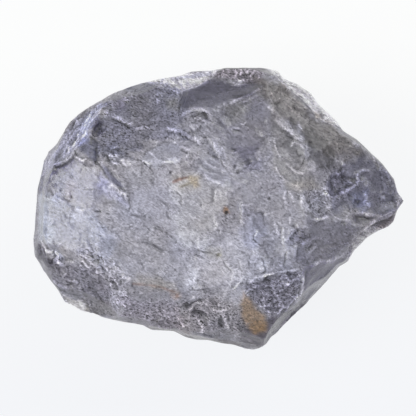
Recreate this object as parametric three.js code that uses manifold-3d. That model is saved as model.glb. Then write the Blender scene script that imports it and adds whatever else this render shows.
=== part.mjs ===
// A rough iolite crystal: one broken, translucent lump of gem cordierite that lies on a broad flat fracture.
//
// Millimetres, +Z up, +X towards the pointed end. The origin is the centre of the footprint, on the flat
// underside. The stone is made the way a real one gets its form: a block with the right outline is split
// along its main fracture faces, its thin ledges are broken free, and shallow shell-shaped flakes are
// struck off the faces, the flanks and the underside.

import * as THREE from "three";
import { mergeVertices } from "three/addons/utils/BufferGeometryUtils.js";
import Module from "manifold-3d";

const wasm = await Module();
wasm.setup();

// ---------------------------------------------------------------- driving dimensions

const LENGTH = 30; // from the rounded end to the tip
const WIDTH = 22.84;
const GIRDLE = 6.6; // height of the widest section
const GIRDLE_WAVE = 0.7; // how far the girdle wanders up and down
const GIRDLE_START = -23; // compass direction, in degrees, where it starts to rise
const UNEVEN = { by: 0.012, lobes: 5, fine_by: 0.007, fine_lobes: 11 }; // a section's strays, as shares
const BEYOND = 60; // size of a cutting block, well past the stone
const FLAKE_FACET = 0.95; // longest facet edge on a large flake scar
const SMALL_FLAKE_FACET = 0.5; // and on one under SMALL_FLAKE wide
const SMALL_FLAKE = 3;
const MERGE = 1e-5; // corners closer than this are one

// The outline seen from above, counter-clockwise from the tip. It touches all four sides of the
// LENGTH by WIDTH rectangle.
const OUTLINE = [
  // upper right flank
  [LENGTH / 2, 0.6], [14.5, 1.3], [14.2, 2.4], [13.3, 3.6], [12.2, 4.7], [11.2, 5.6], [10.1, 6.3],
  [9.6, 7.1], [8.6, 8.0], [7.9, 8.7], [7.6, 9.3], [6.4, 10.1], [5.3, 10.5], [4.9, 11.1], [4.2, 11.3],
  // top edge and upper left flank
  [3.4, WIDTH / 2], [0.6, WIDTH / 2], [-0.5, 11.2], [-2.1, 11.1], [-2.9, 10.8], [-4.6, 10.5],
  [-6.3, 10.3], [-7.2, 10.0], [-8.7, 9.2], [-10.3, 8.3], [-11.2, 7.7], [-12.0, 7.0], [-12.6, 6.0],
  [-13.1, 5.2], [-13.6, 4.7], [-14.1, 3.9], [-14.6, 1.8],
  // rounded end and lower left flank
  [-LENGTH / 2, -0.5], [-LENGTH / 2, -2.6], [-14.9, -3.8], [-14.2, -4.9], [-13.6, -5.8], [-12.9, -6.7],
  [-12.5, -7.4], [-11.9, -8.0], [-11.0, -8.5], [-9.5, -8.8], [-7.5, -9.2], [-6.1, -9.4], [-5.4, -9.8],
  // bottom edge and toe
  [-3.6, -9.9], [-2.6, -10.4], [-1.8, -10.6], [-0.8, -10.65], [0.3, -10.9], [1.2, -11.0], [2.1, -11.3],
  [2.8, -WIDTH / 2], [3.4, -11.3], [3.9, -11.0], [4.3, -10.4], [5.2, -9.9],
  // lower right flank
  [5.9, -9.0], [7.3, -7.5], [8.9, -5.8], [9.8, -4.7], [10.5, -4.3], [11.0, -3.4], [12.1, -2.3],
  [12.9, -1.8], [13.8, -1.4], [14.2, -1.0], [14.5, -0.1],
];

// Sections of the uncut block: height above (or below) the girdle, and size as a share of the outline.
const SECTIONS = [
  { rise: -8.6, share: 0.6 },
  { rise: -5.4, share: 0.8 },
  { rise: -2.6, share: 0.94 },
  { rise: 0, share: 1 },
  { rise: 1.8, share: 0.975 },
  { rise: 3.8, share: 0.955 },
  { rise: 6.4, share: 0.89 },
  { rise: 9, share: 0.8 },
];

// Main fracture faces, which run right across the stone. Each is a plane through a point; faces is the
// compass direction it looks towards, in degrees from +X, and slope is its tilt from level: over 90 it
// looks down.
const FACES = {
  table: { through: [-2.3, -1.3, 12.55], faces: 235, slope: 2.5 },
  west_table: { through: [-10, -0.5, 12.2], faces: 190, slope: 18 },
  crown: { through: [1.8, 3.9, 12.6], faces: 80, slope: 12 },
  north_bevel: { through: [1.8, 8.95, 11.55], faces: 105, slope: 45 },
  north_east_slope: { through: [6.6, 5.6, 11.9], faces: 42, slope: 33 },
  east_slope: { through: [7.1, -0.5, 12.55], faces: 15, slope: 32 },
  south_east_slope: { through: [6.8, -2.5, 12.4], faces: 345, slope: 28 },
  south_east_bevel: { through: [6.8, -4.7, 12.15], faces: 314, slope: 57 },
  dark_facet: { through: [4.2, -5.1, 12.3], faces: 282, slope: 32 },
  south_slope: { through: [-4.3, -6.3, 12.2], faces: 263, slope: 39 },
  south_west_slope: { through: [-10.75, -3.3, 11.8], faces: 232, slope: 39 },
  north_west_bevel: { through: [-9.8, 7.0, 10.1], faces: 135, slope: 60 },
  rounded_end_bevel: { through: [-12.8, 3.7, 11.3], faces: 152, slope: 66 },
  west_bevel: { through: [-14.2, -0.5, 10.9], faces: 182, slope: 66 },
  under_east: { through: [12.6, 1.0, 3.6], faces: 15, slope: 128 },
  under_north_east: { through: [8.0, 7.2, 4.2], faces: 52, slope: 120 },
  under_north: { through: [-2.0, 9.6, 3.4], faces: 96, slope: 131 },
  under_west: { through: [-13.2, 2.0, 3.2], faces: 168, slope: 134 },
  under_south_west: { through: [-11.0, -6.4, 3.7], faces: 226, slope: 125 },
  under_south: { through: [-1.0, -9.3, 3.0], faces: 266, slope: 129 },
  under_south_east: { through: [8.0, -5.2, 3.9], faces: 315, slope: 122 },
  base: { through: [0, 0, 0], faces: 0, slope: 180 },
};

// Where part of the stone has broken away inside a ground plan, down to a face of its own: the upper
// left slope, and the three thin ledges at the rim.
const BREAKS = {
  upper_left_slope: {
    plan: [[-1.7, 3.4], [-14, 3.4], [-14, 13], [-2.9, 13], [-3.0, 9.4], [-2.7, 8.0], [-2.3, 6.6],
      [-1.7, 5.3]],
    face: { through: [-5.5, 4.3, 12.45], faces: 97, slope: 35 },
  },
  north_ledge: {
    plan: [[-7.2, 10.3], [-5.4, 10.15], [-4.1, 9.75], [-3.1, 9.35], [-2.2, 9.65], [-1.4, 9.95], [-0.6, 10.4],
      [0.2, 11.4], [-3, 14]],
    face: { through: [-3.1, 9.4, 7.6], faces: 104, slope: 14 },
  },
  north_east_ledge: {
    plan: [[4.2, 11.5], [5.0, 10.1], [5.8, 9.4], [6.6, 8.8], [7.3, 8.1], [7.8, 7.4], [8.4, 7.0], [9.1, 6.8],
      [10.1, 6.4], [11, 12]],
    face: { through: [6.6, 8.8, 8.0], faces: 48, slope: 17 },
  },
  south_east_ledge: {
    plan: [[10.5, -4.3], [10.4, -3.1], [10.7, -2.5], [11.3, -2.0], [12.0, -1.5], [12.6, -1.1], [13.6, -0.7],
      [14.8, -0.2], [14, -5]],
    face: { through: [10.7, -2.5, 7.7], faces: 305, slope: 13 },
  },
};

// Shell-shaped flake scars on the upper faces. At is seen from above; run is the direction of its
// length; deep is measured at its middle, below the face it lies on.
const SCARS = [
  { on: "table", at: [-3.2, -1.6], long: 15.5, wide: 10.5, deep: 0.5, run: -22 },
  { on: "west_table", at: [-12.4, -0.8], long: 8.4, wide: 6.4, deep: 0.3, run: 10 },
  { on: "table", at: [4.9, -0.9], long: 8.4, wide: 6.2, deep: 0.45, run: 68 },
  { on: "west_table", at: [-12.0, 2.3], long: 5.4, wide: 4.0, deep: 0.36, run: 40 },
  { on: "upper_left_slope", at: [-6.5, 7.5], long: 6.8, wide: 5.4, deep: 0.55, run: -6 },
  { on: "upper_left_slope", at: [-6.6, 4.9], long: 8.8, wide: 3.4, deep: 0.45, run: -8 },
  { on: "upper_left_slope", at: [-3.9, 8.2], long: 4.0, wide: 2.0, deep: 0.35, run: 80 },
  { on: "north_bevel", at: [0.2, 9.3], long: 7.6, wide: 3.4, deep: 0.42, run: 14 },
  { on: "north_bevel", at: [2.4, 10.7], long: 4.4, wide: 1.9, deep: 0.35, run: 5 },
  { on: "crown", at: [2.1, 5.0], long: 9.0, wide: 5.6, deep: 0.55, run: -72 },
  { on: "crown", at: [-0.7, 4.6], long: 6.2, wide: 3.8, deep: 0.4, run: -58 },
  { on: "crown", at: [5.9, 4.4], long: 7.2, wide: 4.2, deep: 0.55, run: -68 },
  { on: "north_east_slope", at: [7.2, 6.9], long: 10.5, wide: 5.2, deep: 0.5, run: -46 },
  { on: "north_east_slope", at: [10.9, 4.1], long: 6.2, wide: 4.6, deep: 0.42, run: -40 },
  { on: "east_slope", at: [10.2, 1.5], long: 6.6, wide: 5.2, deep: 0.5, run: 72 },
  { on: "east_slope", at: [13.1, 1.1], long: 4.4, wide: 3.6, deep: 0.4, run: 40 },
  { on: "east_slope", at: [8.0, 1.4], long: 4.6, wide: 3.0, deep: 0.42, run: 62 },
  { on: "south_east_slope", at: [9.0, -2.7], long: 5.6, wide: 4.6, deep: 0.26, run: 40 },
  { on: "south_east_bevel", at: [8.8, -5.4], long: 5.4, wide: 3.6, deep: 0.22, run: 45 },
  { on: "dark_facet", at: [4.6, -6.9], long: 5.4, wide: 4.0, deep: 0.42, run: 12 },
  { on: "dark_facet", at: [2.9, -9.9], long: 4.4, wide: 3.2, deep: 0.42, run: -40 },
  { on: "south_slope", at: [-1.0, -8.2], long: 4.2, wide: 3.2, deep: 0.5, run: 30 },
  { on: "south_slope", at: [-5.6, -8.2], long: 9.2, wide: 3.8, deep: 0.42, run: -6 },
  { on: "south_slope", at: [1.0, -9.8], long: 4.8, wide: 3.2, deep: 0.4, run: -12 },
  { on: "south_west_slope", at: [-12.4, -4.9], long: 6.8, wide: 4.2, deep: 0.42, run: -42 },
  { on: "south_west_slope", at: [-9.3, -7.3], long: 5.8, wide: 3.6, deep: 0.42, run: -28 },
  { on: "north_west_bevel", at: [-11.2, 6.6], long: 6.2, wide: 3.4, deep: 0.34, run: 55 },
];

// Small deep breaks on the top: a pit under the left ridge, the hollow under the little arch and the
// wedge that lifted out of the table.
const PITS = [
  { on: "upper_left_slope", at: [-9.5, 6.4], long: 1.9, wide: 1.0, deep: 0.5, run: 62 },
  { on: "crown", at: [-1.6, 7.3], long: 2.2, wide: 1.2, deep: 0.55, run: -8 },
  { on: "table", at: [-8.3, 1.7], long: 4.6, wide: 1.5, deep: 0.34, run: -54 },
];

// Rings of flakes round the stone, from one compass direction to another: off the flank above the
// girdle, clear of the thin ledges, off the belly below it and off the rim of the flat underside. Rise
// and wander are heights above the girdle, or above the floor where grounded; inset is a share of the
// outline; stretch is a flake's length for its width.
const RINGS = [
  { seed: 0, count: 14, from: 112, to: 330, rise: 2.2, wander: 1.1, inset: 0.972, slope: 74, wide: 5.2,
    stretch: 1.1, deep: 0.4 },
  { seed: 7, count: 14, from: 14, to: 350, rise: -3.7, wander: -0.8, inset: 0.9, slope: 119, wide: 6.4,
    stretch: 1.25, deep: 0.55 },
  { seed: 9, count: 8, from: 10, to: 370, grounded: true, rise: 0, wander: 0.2, inset: 0.6, slope: 163,
    wide: 5.6, stretch: 1.1, deep: 0.5 },
];
const STAGGER = 0.5; // how far a flake strays along its ring, as a share of the spacing
const AIM_SPREAD = 22; // degrees
const SIZE_SPREAD = 0.6;

const IOLITE = { color: 0x8d8c9e, roughness: 0.35, metalness: 0 };

// ---------------------------------------------------------------- helpers

const DEGREE = Math.PI / 180;
const UP = new THREE.Vector3(0, 0, 1);

/** The closed geometry as a solid that can be joined and cut. */
function solidOf(geometry) {
  geometry.deleteAttribute("normal");
  geometry.deleteAttribute("uv");
  const merged = mergeVertices(geometry, MERGE);
  return new wasm.Manifold(
    new wasm.Mesh({
      numProp: 3,
      vertProperties: merged.attributes.position.array,
      triVerts: new Uint32Array(merged.index.array),
    }),
  );
}

/** The outward normal of a fracture face. */
function normalOf({ faces, slope }) {
  const lean = slope * DEGREE;
  return new THREE.Vector3(
    Math.sin(lean) * Math.cos(faces * DEGREE),
    Math.sin(lean) * Math.sin(faces * DEGREE),
    Math.cos(lean),
  );
}

/** The point of a face above or below a place on the floor. */
function pointOn(face, [x, y]) {
  const n = normalOf(face);
  const [px, py, pz] = face.through;
  return new THREE.Vector3(x, y, pz - (n.x * (x - px) + n.y * (y - py)) / n.z);
}

/** How far the outline is from the origin in a direction, in radians. */
function reach(angle) {
  const ray = new THREE.Vector2(Math.cos(angle), Math.sin(angle));
  let far = 0;
  OUTLINE.forEach(([ax, ay], i) => {
    const [bx, by] = OUTLINE[(i + 1) % OUTLINE.length];
    const [ex, ey] = [bx - ax, by - ay];
    const across = ray.x * ey - ray.y * ex;
    const along = (ax * ey - ay * ex) / across;
    const share = (ax * ray.y - ay * ray.x) / across;
    if (along > 0 && share >= 0 && share <= 1) far = Math.max(far, along);
  });
  return far;
}

/** The height of the girdle in a direction, in radians: two rises on one side, two dips on the other. */
function girdleHeight(angle) {
  const from = angle - GIRDLE_START * DEGREE;
  return GIRDLE + GIRDLE_WAVE * Math.sin(2 * from) * Math.cos(from);
}

/** How far a section strays from its share of the outline in a direction, in radians. */
function strayOf(angle, level) {
  const coarse = Math.sin(UNEVEN.lobes * angle + 2 * level);
  const fine = Math.sin(UNEVEN.fine_lobes * angle + level);
  return UNEVEN.by * coarse + UNEVEN.fine_by * fine;
}

// ---------------------------------------------------------------- the stone

/** The uncut block: the outline lofted through its sections, closed at both ends. */
function block() {
  const around = OUTLINE.length;
  const points = [];
  SECTIONS.forEach(({ rise, share }, level) => {
    OUTLINE.forEach(([x, y]) => {
      const angle = Math.atan2(y, x);
      const size = share < 1 ? share + strayOf(angle, level) : 1;
      points.push(x * size, y * size, girdleHeight(angle) + rise);
    });
  });
  const lowest = points.length / 3;
  points.push(0, 0, GIRDLE + SECTIONS[0].rise);
  points.push(0, 0, GIRDLE + SECTIONS.at(-1).rise);

  const faces = [];
  for (let i = 0; i < around; i++) {
    const next = (i + 1) % around;
    for (let level = 0; level + 1 < SECTIONS.length; level++) {
      const [a, b] = [level * around + i, level * around + next];
      faces.push(a, b, b + around, a, b + around, a + around);
    }
    const top = (SECTIONS.length - 1) * around;
    faces.push(lowest, next, i);
    faces.push(lowest + 1, top + i, top + next);
  }
  const geometry = new THREE.BufferGeometry();
  geometry.setAttribute("position", new THREE.Float32BufferAttribute(points, 3));
  geometry.setIndex(faces);
  return solidOf(geometry);
}

/** Everything on the outer side of a fracture face. */
function beyondFace(face) {
  const n = normalOf(face);
  const turn = new THREE.Quaternion().setFromUnitVectors(UP, n);
  const middle = new THREE.Vector3(...face.through).addScaledVector(n, BEYOND / 2);
  const box = new THREE.BoxGeometry(BEYOND, BEYOND, BEYOND);
  return solidOf(box.applyQuaternion(turn).translate(...middle.toArray()));
}

/** What has broken away inside a ground plan, above a face. */
function brokenAway({ plan, face }) {
  const outline = new THREE.Shape(plan.map(([x, y]) => new THREE.Vector2(x, y)));
  const column = new THREE.ExtrudeGeometry(outline, { depth: BEYOND / 2, bevelEnabled: false });
  return solidOf(column).intersect(beyondFace(face));
}

/** A shell-shaped flake: a ball, stretched along run, that dips deep below a point of the surface. */
function flake(at, normal, run, { long, wide, deep }) {
  const radius = ((wide / 2) ** 2 + deep ** 2) / (2 * deep);
  const edge = wide < SMALL_FLAKE ? SMALL_FLAKE_FACET : FLAKE_FACET;
  const ball = new THREE.IcosahedronGeometry(radius, Math.ceil(radius / edge));
  ball.scale(long / wide, 1, 1);
  const side = new THREE.Vector3().crossVectors(normal, run).normalize();
  const along = new THREE.Vector3().crossVectors(side, normal);
  ball.applyMatrix4(new THREE.Matrix4().makeBasis(along, side, normal));
  return solidOf(ball.translate(...at.clone().addScaledVector(normal, radius - deep).toArray()));
}

/** The flake that left a scar on one of the main faces. */
function flakeOf(scar) {
  const face = FACES[scar.on] ?? BREAKS[scar.on].face;
  const run = new THREE.Vector3(Math.cos(scar.run * DEGREE), Math.sin(scar.run * DEGREE), 0);
  return flake(pointOn(face, scar.at), normalOf(face), run, scar);
}

/** A ring of flakes round the stone, each a little different in place, aim and size. */
function ringOfFlakes({ seed, count, from, to, grounded, rise, wander, inset, slope, wide, stretch, deep }) {
  return Array.from({ length: count }, (_, i) => {
    const vary = (what) => THREE.MathUtils.seededRandom(1000 * seed + 10 * i + what);
    const angle = (from + ((to - from) * (i + STAGGER * vary(0))) / count) * DEGREE;
    const height = (grounded ? 0 : girdleHeight(angle)) + rise + wander * vary(1);
    const out = reach(angle) * inset;
    const at = new THREE.Vector3(out * Math.cos(angle), out * Math.sin(angle), height);
    const normal = normalOf({
      faces: angle / DEGREE + AIM_SPREAD * (vary(2) - 0.5),
      slope: slope + AIM_SPREAD * (vary(3) - 0.5),
    });
    const size = 1 + SIZE_SPREAD * (vary(4) - 0.5);
    return flake(at, normal, UP, { long: wide * stretch * size, wide: wide * size, deep: deep * size });
  });
}

/** The whole stone, cut from its block. */
function stone() {
  const cuts = [
    ...Object.values(FACES).map(beyondFace),
    ...Object.values(BREAKS).map(brokenAway),
    ...SCARS.map(flakeOf),
    ...PITS.map(flakeOf),
    ...RINGS.flatMap(ringOfFlakes),
  ];
  return cuts.reduce((left, cut) => left.subtract(cut), block());
}

/** A solid's surface as a geometry. */
function geometryOf(solid) {
  const { numProp, numVert, vertProperties, triVerts } = solid.getMesh();
  const points = new Float32Array(numVert * 3);
  for (let i = 0; i < numVert; i++) points.set(vertProperties.subarray(i * numProp, i * numProp + 3), i * 3);
  const geometry = new THREE.BufferGeometry();
  geometry.setAttribute("position", new THREE.BufferAttribute(points, 3));
  geometry.setIndex(new THREE.BufferAttribute(triVerts, 1));
  geometry.computeVertexNormals();
  return geometry;
}

const fractured = new THREE.MeshStandardMaterial({ ...IOLITE, flatShading: true });
const crystal = new THREE.Mesh(geometryOf(stone()), fractured);
crystal.name = "iolite_crystal";

const part = new THREE.Group();
part.add(crystal);
export default part;
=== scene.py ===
"""A rough iolite crystal, resting on its flattest break on a pale, lit table.

The stone is one piece.  Its large breaks come from the exact solid, and the small ones are
worked into a fine mesh here: shell-shaped chips, steps, cracks, hatching and frosted ledges.
Places on the stone are seen from above, x to the right and y away from the viewer.  Outlines and
paths are written down in hundredths of a millimetre, and everything else on the stone is in
millimetres.  They become metres when the mesh is written.
"""

from __future__ import annotations

import logging
import math
from dataclasses import dataclass, field
from enum import Enum, IntEnum

import bpy
import numpy as np
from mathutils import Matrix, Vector

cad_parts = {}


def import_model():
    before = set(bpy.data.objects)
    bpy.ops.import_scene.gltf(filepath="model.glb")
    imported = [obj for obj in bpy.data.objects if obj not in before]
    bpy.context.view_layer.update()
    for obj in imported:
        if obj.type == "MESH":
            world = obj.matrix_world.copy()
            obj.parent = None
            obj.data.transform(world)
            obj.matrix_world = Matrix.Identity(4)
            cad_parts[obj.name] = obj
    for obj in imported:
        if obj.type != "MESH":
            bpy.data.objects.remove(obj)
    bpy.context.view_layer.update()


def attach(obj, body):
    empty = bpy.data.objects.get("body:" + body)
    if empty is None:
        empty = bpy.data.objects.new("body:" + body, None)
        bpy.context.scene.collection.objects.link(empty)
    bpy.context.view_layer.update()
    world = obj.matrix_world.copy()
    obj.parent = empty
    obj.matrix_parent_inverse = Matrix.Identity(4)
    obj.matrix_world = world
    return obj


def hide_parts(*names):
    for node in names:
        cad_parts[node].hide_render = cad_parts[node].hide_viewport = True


MM = 0.001
NODE = "iolite_crystal"
BODY = "root"

Plan = tuple[int, ...]  # x and y of each place in turn, in hundredths of a millimetre
Colour = tuple[float, float, float]
Span = tuple[float, float]
Size = float | tuple[float, float, float]
Socket = bpy.types.NodeSocket

TORN = 28.0  # the stone tore along this heading, in degrees clockwise from x
LOWEST = 0.01  # how far above the table the stone's worked foot stays, in mm
PALEST = 0.95  # the stone's colour is never lighter than this

log = logging.getLogger("iolite")


# -------------------- working with Blender


def alone(piece: bpy.types.Object) -> None:
    """Selects one object and makes it the active one.

    Args:
        piece: The object that the next operator acts on.
    """
    bpy.ops.object.select_all(action="DESELECT")
    piece.select_set(True)
    bpy.context.view_layer.objects.active = piece


def apply_modifiers(piece: bpy.types.Object) -> None:
    """Applies every modifier of an object, in order.

    Args:
        piece: The object, which ends up with a plain mesh.
    """
    alone(piece)
    for name in [modifier.name for modifier in piece.modifiers]:
        bpy.ops.object.modifier_apply(modifier=name)


# -------------------- patterns in the stone


class Lattice:
    """Random values on a cubic lattice, which repeat only after more cells than are used."""

    CELLS = 64
    FINER = 2.03  # how much finer each size of detail is than the one before it
    GAIN = 0.5  # and how strong it is beside it
    APART = 17.3  # and how many cells away it is taken from

    def __init__(self, seed: int) -> None:
        """Fills the lattice.

        Args:
            seed: Picks the pattern.
        """
        rng = np.random.default_rng(seed)
        shape = (self.CELLS,) * 3
        self.values = rng.random(shape).astype(np.float32) * 2 - 1
        self.centres = rng.random(shape + (3,)).astype(np.float32)
        self.turns = rng.normal(size=shape + (3,)).astype(np.float32)

    def index(self, cell: np.ndarray) -> tuple[np.ndarray, ...]:
        """Finds where the values of cells are kept: one array of positions for each axis."""
        return tuple((cell % self.CELLS).T)

    def clouds(self, points: np.ndarray) -> np.ndarray:
        """Soft noise with features one unit wide.

        Args:
            points: Places in lattice units, one per row.

        Returns:
            Values from -1 to 1.
        """
        base = np.floor(points).astype(int)
        part = (points - base).astype(np.float32)
        ease = part * part * part * (part * (part * 6 - 15) + 10)
        total = np.zeros(len(points), np.float32)
        for corner in np.ndindex(2, 2, 2):
            weight = np.prod(np.where(np.array(corner) == 1, ease, 1 - ease), axis=1)
            total += weight * self.values[self.index(base + corner)]
        return total

    def fractal(self, points: np.ndarray, *, size: Size, octaves: int,
                shift: float = 0.0) -> np.ndarray:
        """Noise with finer and finer detail.

        Args:
            points: Places in mm, one per row.
            size: Width of its largest features in mm, or their length, width and height.
            octaves: How many sizes of detail are added up.
            shift: Picks the pattern.

        Returns:
            Values mostly between -1 and 1.
        """
        scaled = points / size + shift
        total = np.zeros(len(scaled), np.float32)
        for octave in range(octaves):
            finer = scaled * self.FINER**octave + self.APART * octave
            total += self.GAIN**octave * self.clouds(finer)
        return total

    def cells(self, points: np.ndarray, *, size: Size,
              shift: float = 0.0) -> tuple[np.ndarray, np.ndarray, np.ndarray]:
        """Splits space into irregular cells.

        Args:
            points: Places in mm, one per row.
            size: Average width of a cell in mm, or its length, width and height.
            shift: Picks the pattern.

        Returns:
            The distance to the nearest cell centre, the distance to the second nearest, and
            the height of a plane through the cell's centre with a tilt of the cell's own, all
            as shares of a cell's size.
        """
        scaled = points / size + shift
        base = np.floor(scaled).astype(int)
        first = np.full(len(scaled), np.inf, np.float32)
        second = first.copy()
        tilt = np.zeros(len(scaled), np.float32)
        for step in np.ndindex(3, 3, 3):
            cell = base + np.array(step) - 1
            index = self.index(cell)
            away = (scaled - cell).astype(np.float32) - self.centres[index]
            far = np.sqrt((away * away).sum(axis=1))
            nearer = far < first
            second = np.where(nearer, first, np.minimum(second, far))
            first = np.where(nearer, far, first)
            tilt = np.where(nearer, (away * self.turns[index]).sum(axis=1), tilt)
        return first, second, tilt


def soft_step(value: np.ndarray) -> np.ndarray:
    """Eases from 0 to 1 as a value goes from 0 to 1."""
    value = np.clip(value, 0, 1)
    return value * value * (3 - 2 * value)


def fade(depth: np.ndarray, soft: float) -> np.ndarray:
    """Eases from 0 to 1 across an outline, from the depth inside it and the width of the change."""
    return soft_step(depth / soft + 0.5)


def places(plan: Plan) -> list[tuple[float, float]]:
    """Pairs up the numbers of an outline or a path, in mm."""
    return [(x / 100, y / 100) for x, y in zip(plan[::2], plan[1::2])]


def inside(outline: Plan, points: np.ndarray) -> np.ndarray:
    """How far each point lies inside a closed outline.

    Args:
        outline: The corners of the outline in plan.
        points: Places in plan, one per row.

    Returns:
        Distances, positive inside and negative outside.
    """
    far = np.full(len(points), np.inf)
    odd = np.zeros(len(points), bool)
    corners = places(outline)
    for (ax, ay), (bx, by) in zip(corners, corners[1:] + corners[:1]):
        run = np.array([bx - ax, by - ay])
        from_a = points - (ax, ay)
        along = np.clip(from_a @ run / (run @ run), 0, 1)
        far = np.minimum(far, np.hypot(*(from_a - along[:, None] * run).T))
        spans = (ay > points[:, 1]) != (by > points[:, 1])
        with np.errstate(divide="ignore", invalid="ignore"):
            crosses = points[:, 0] < (bx - ax) * (points[:, 1] - ay) / (by - ay) + ax
        odd ^= spans & crosses
    return np.where(odd, far, -far)


# -------------------- features of the stone


@dataclass(frozen=True)
class Grain:
    """How rough a break is, as multiples of the usual relief.

    Attributes:
        chips: Strength of the broad shell-shaped chips.
        flakes: Strength of the middle-sized flakes.
        crumbs: Strength of the smallest crumbs.
        hatch: Strength of the parallel hatching.
        hatch_turn: Heading of the hatching in plan, in degrees from x.
        crest_light: How much lighter the sharp crests between flakes are, as painted highlight.
    """

    chips: float = 1.0
    flakes: float = 1.0
    crumbs: float = 1.0
    hatch: float = 0.0
    hatch_turn: float = 0.0
    crest_light: float = 0.0

    @property
    def strengths(self) -> tuple[float, ...]:
        """Its strengths in the order of Part."""
        return self.chips, self.flakes, self.crumbs, self.hatch, self.crest_light


class Part(IntEnum):
    """Columns of a table that holds the grain of every vertex."""

    CHIPS = 0
    FLAKES = 1
    CRUMBS = 2
    HATCH = 3
    VEINS = 4
    TURN = 5


class Break(Enum):
    """Kinds of break on the stone."""

    PLAIN = Grain(0.75, 0.6, 0.45)
    ROUGH = Grain(0.7, 0.9, 1.5)
    SMOOTH = Grain(0.35, 0.2, 0.4)
    SHELLY = Grain(0.5, 0.35, 0.8)
    MOTTLED = Grain(0.75, 0.5, 0.6)
    SILKY = Grain(0.35, 0.15, 0.6, 0.6, -22.0)
    SHEER = Grain(0.35, 0.3, 0.8, 0.6, 22.0)
    CHUNKY = Grain(1.4, 1.6, 1.9)
    SHARDS = Grain(1.2, 1.5, 1.9, crest_light=0.7)
    CRUMBLY = Grain(0.8, 1.4, 2.0)
    NETTED = Grain(0.5, 2.1, 2.0, crest_light=1.1)
    FACETED = Grain(1.1, 0.5, 1.0)
    HATCHED = Grain(0.6, 0.45, 1.7, 1.2, -52.0)
    STRIATED = Grain(0.4, 0.25, 0.8, 2.2, 54.0)
    DRAWN = Grain(0.4, 0.45, 1.0, 0.9, -42.0)
    LEDGE = Grain(0.5, 0.4, 0.7, 0.9, -38.0)


@dataclass(frozen=True)
class Zone:
    """One patch of the broken surface.

    Attributes:
        outline: Corners in plan.
        kind: What sort of break it is, or None where only the colour differs.
        tint: Multiplies the stone's colour, for its own tone and for painted light and shade, or
            None where the colour is the same.
        soft: Width over which it fades in, in mm.
        ragged: How far its edge wanders, in mm.
    """

    outline: Plan
    kind: Break | None = None
    tint: Colour | None = None
    soft: float = 0.5
    ragged: float = 0.35


@dataclass(frozen=True)
class Line:
    """A ridge, a step or a crack, each drawn into the colour with painted light and shade.

    Attributes:
        path: Points along it, in plan.
        wide: Half its width in mm.
        line_light: How much lighter a ridge's crest is, mostly painted highlight with some of the
            crest's own paleness, or how much darker a crack is, painted shade (negative).
        lean: From -1 to 1: how much longer the slope on one side is; positive is the left.
    """

    SWAY = 0.06  # how far it wanders from its path, in mm
    MARGIN = 0.3  # how far beyond its foot it is looked for, in mm
    SHARP = 1.2  # how hollow the slopes beside its crest are; 1 is straight
    ENDS = 0.18  # share of its length over which it fades at each end
    BLUNT = 0.15  # how much of it is left at its very ends
    CREST = 1.5  # how wide its bright or dark crest is, as a share of its width
    # SHADE and the two after it set the painted shadow along the foot of the steeper slope
    SHADE = 0.6  # how dark the foot of its steeper slope is, beside its shine
    SHADE_AT = 2.0  # where that is, as a share of its width
    SHADE_WIDE = 1.4  # and how wide

    path: Plan
    wide: float
    line_light: float
    lean: float = 0.0

    @property
    def rise(self) -> float:
        """Height of its crest in mm, negative for a crack."""
        return 1.2 * self.wide if self.line_light > 0 else -min(self.wide, 0.08)

    @property
    def glow(self) -> float:
        """How much lighter the middle of its crest is with painted highlight, negative for a
        crack's painted shade.
        """
        return self.line_light * (2.0 if self.line_light > 0 else 1.3)

    @property
    def foot(self) -> float:
        """How far from the crest its steeper slope ends, in mm."""
        return 1.7 * self.wide

    @property
    def long(self) -> float:
        """How many times as long as the steeper slope the other one is."""
        return 1 + 7 * abs(self.lean)


@dataclass(frozen=True)
class Scoop:
    """A hollow shell-shaped scar with ripples that run around where it was struck.

    Attributes:
        centre: Its middle in plan.
        long: Half its length in mm.
        short: Half its width in mm.
        turn: Heading of its length, in degrees from x.
        deep: Its depth in mm, negative for a bump.
        ripples: How many ripples cross it.
        dark: Painted shade in the hollow: how much darker it is than the stone around it.
    """

    RAGGED = 0.12  # how far its rim wanders, as a share of its size
    REACH = 1.12  # how far out it is felt, as a share of its size
    SOFT = 0.3  # width over which it begins there
    RIPPLE = 0.09  # height of the ripples as a share of its depth

    centre: tuple[float, float]
    long: float
    short: float
    turn: float
    deep: float
    ripples: float = 3.0
    dark: float = 0.0


@dataclass(frozen=True)
class Stain:
    """A coloured mark that has no height.

    Attributes:
        outline: Corners in plan.
        colour: Its linear colour.
        cover: How much of the stone's colour it hides.
        soft: Width over which it fades in, in mm.
    """

    outline: Plan
    colour: Colour
    cover: float = 0.8
    soft: float = 0.3


STONE: Colour = (0.295, 0.287, 0.326)  # linear
# painted shade on the steep rim, where the clear stone looks dark because it bends light away
RIM_SHADE: Colour = (0.42, 0.41, 0.42)  # multiplies the colour of the steep rim

# where the seams between the faces of the broad upper break are smoothed
EASED: tuple[Plan, ...] = (
    (-1326, 249, -1229, 313, -1084, 370, -938, 394, -809, 362, -695, 184, -469, 22, -178, -156,
        -113, -431, -226, -560, -550, -511, -825, -431, -987, -350, -1148, -277, -1310, -220,
        -1375, -107, -1391, 103),
)

# the tints hold the stone's own tone together with painted light and shade: faces turned from the
# lamps, hollows and dark edges are darkened, faces turned to the lamps lightened
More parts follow.
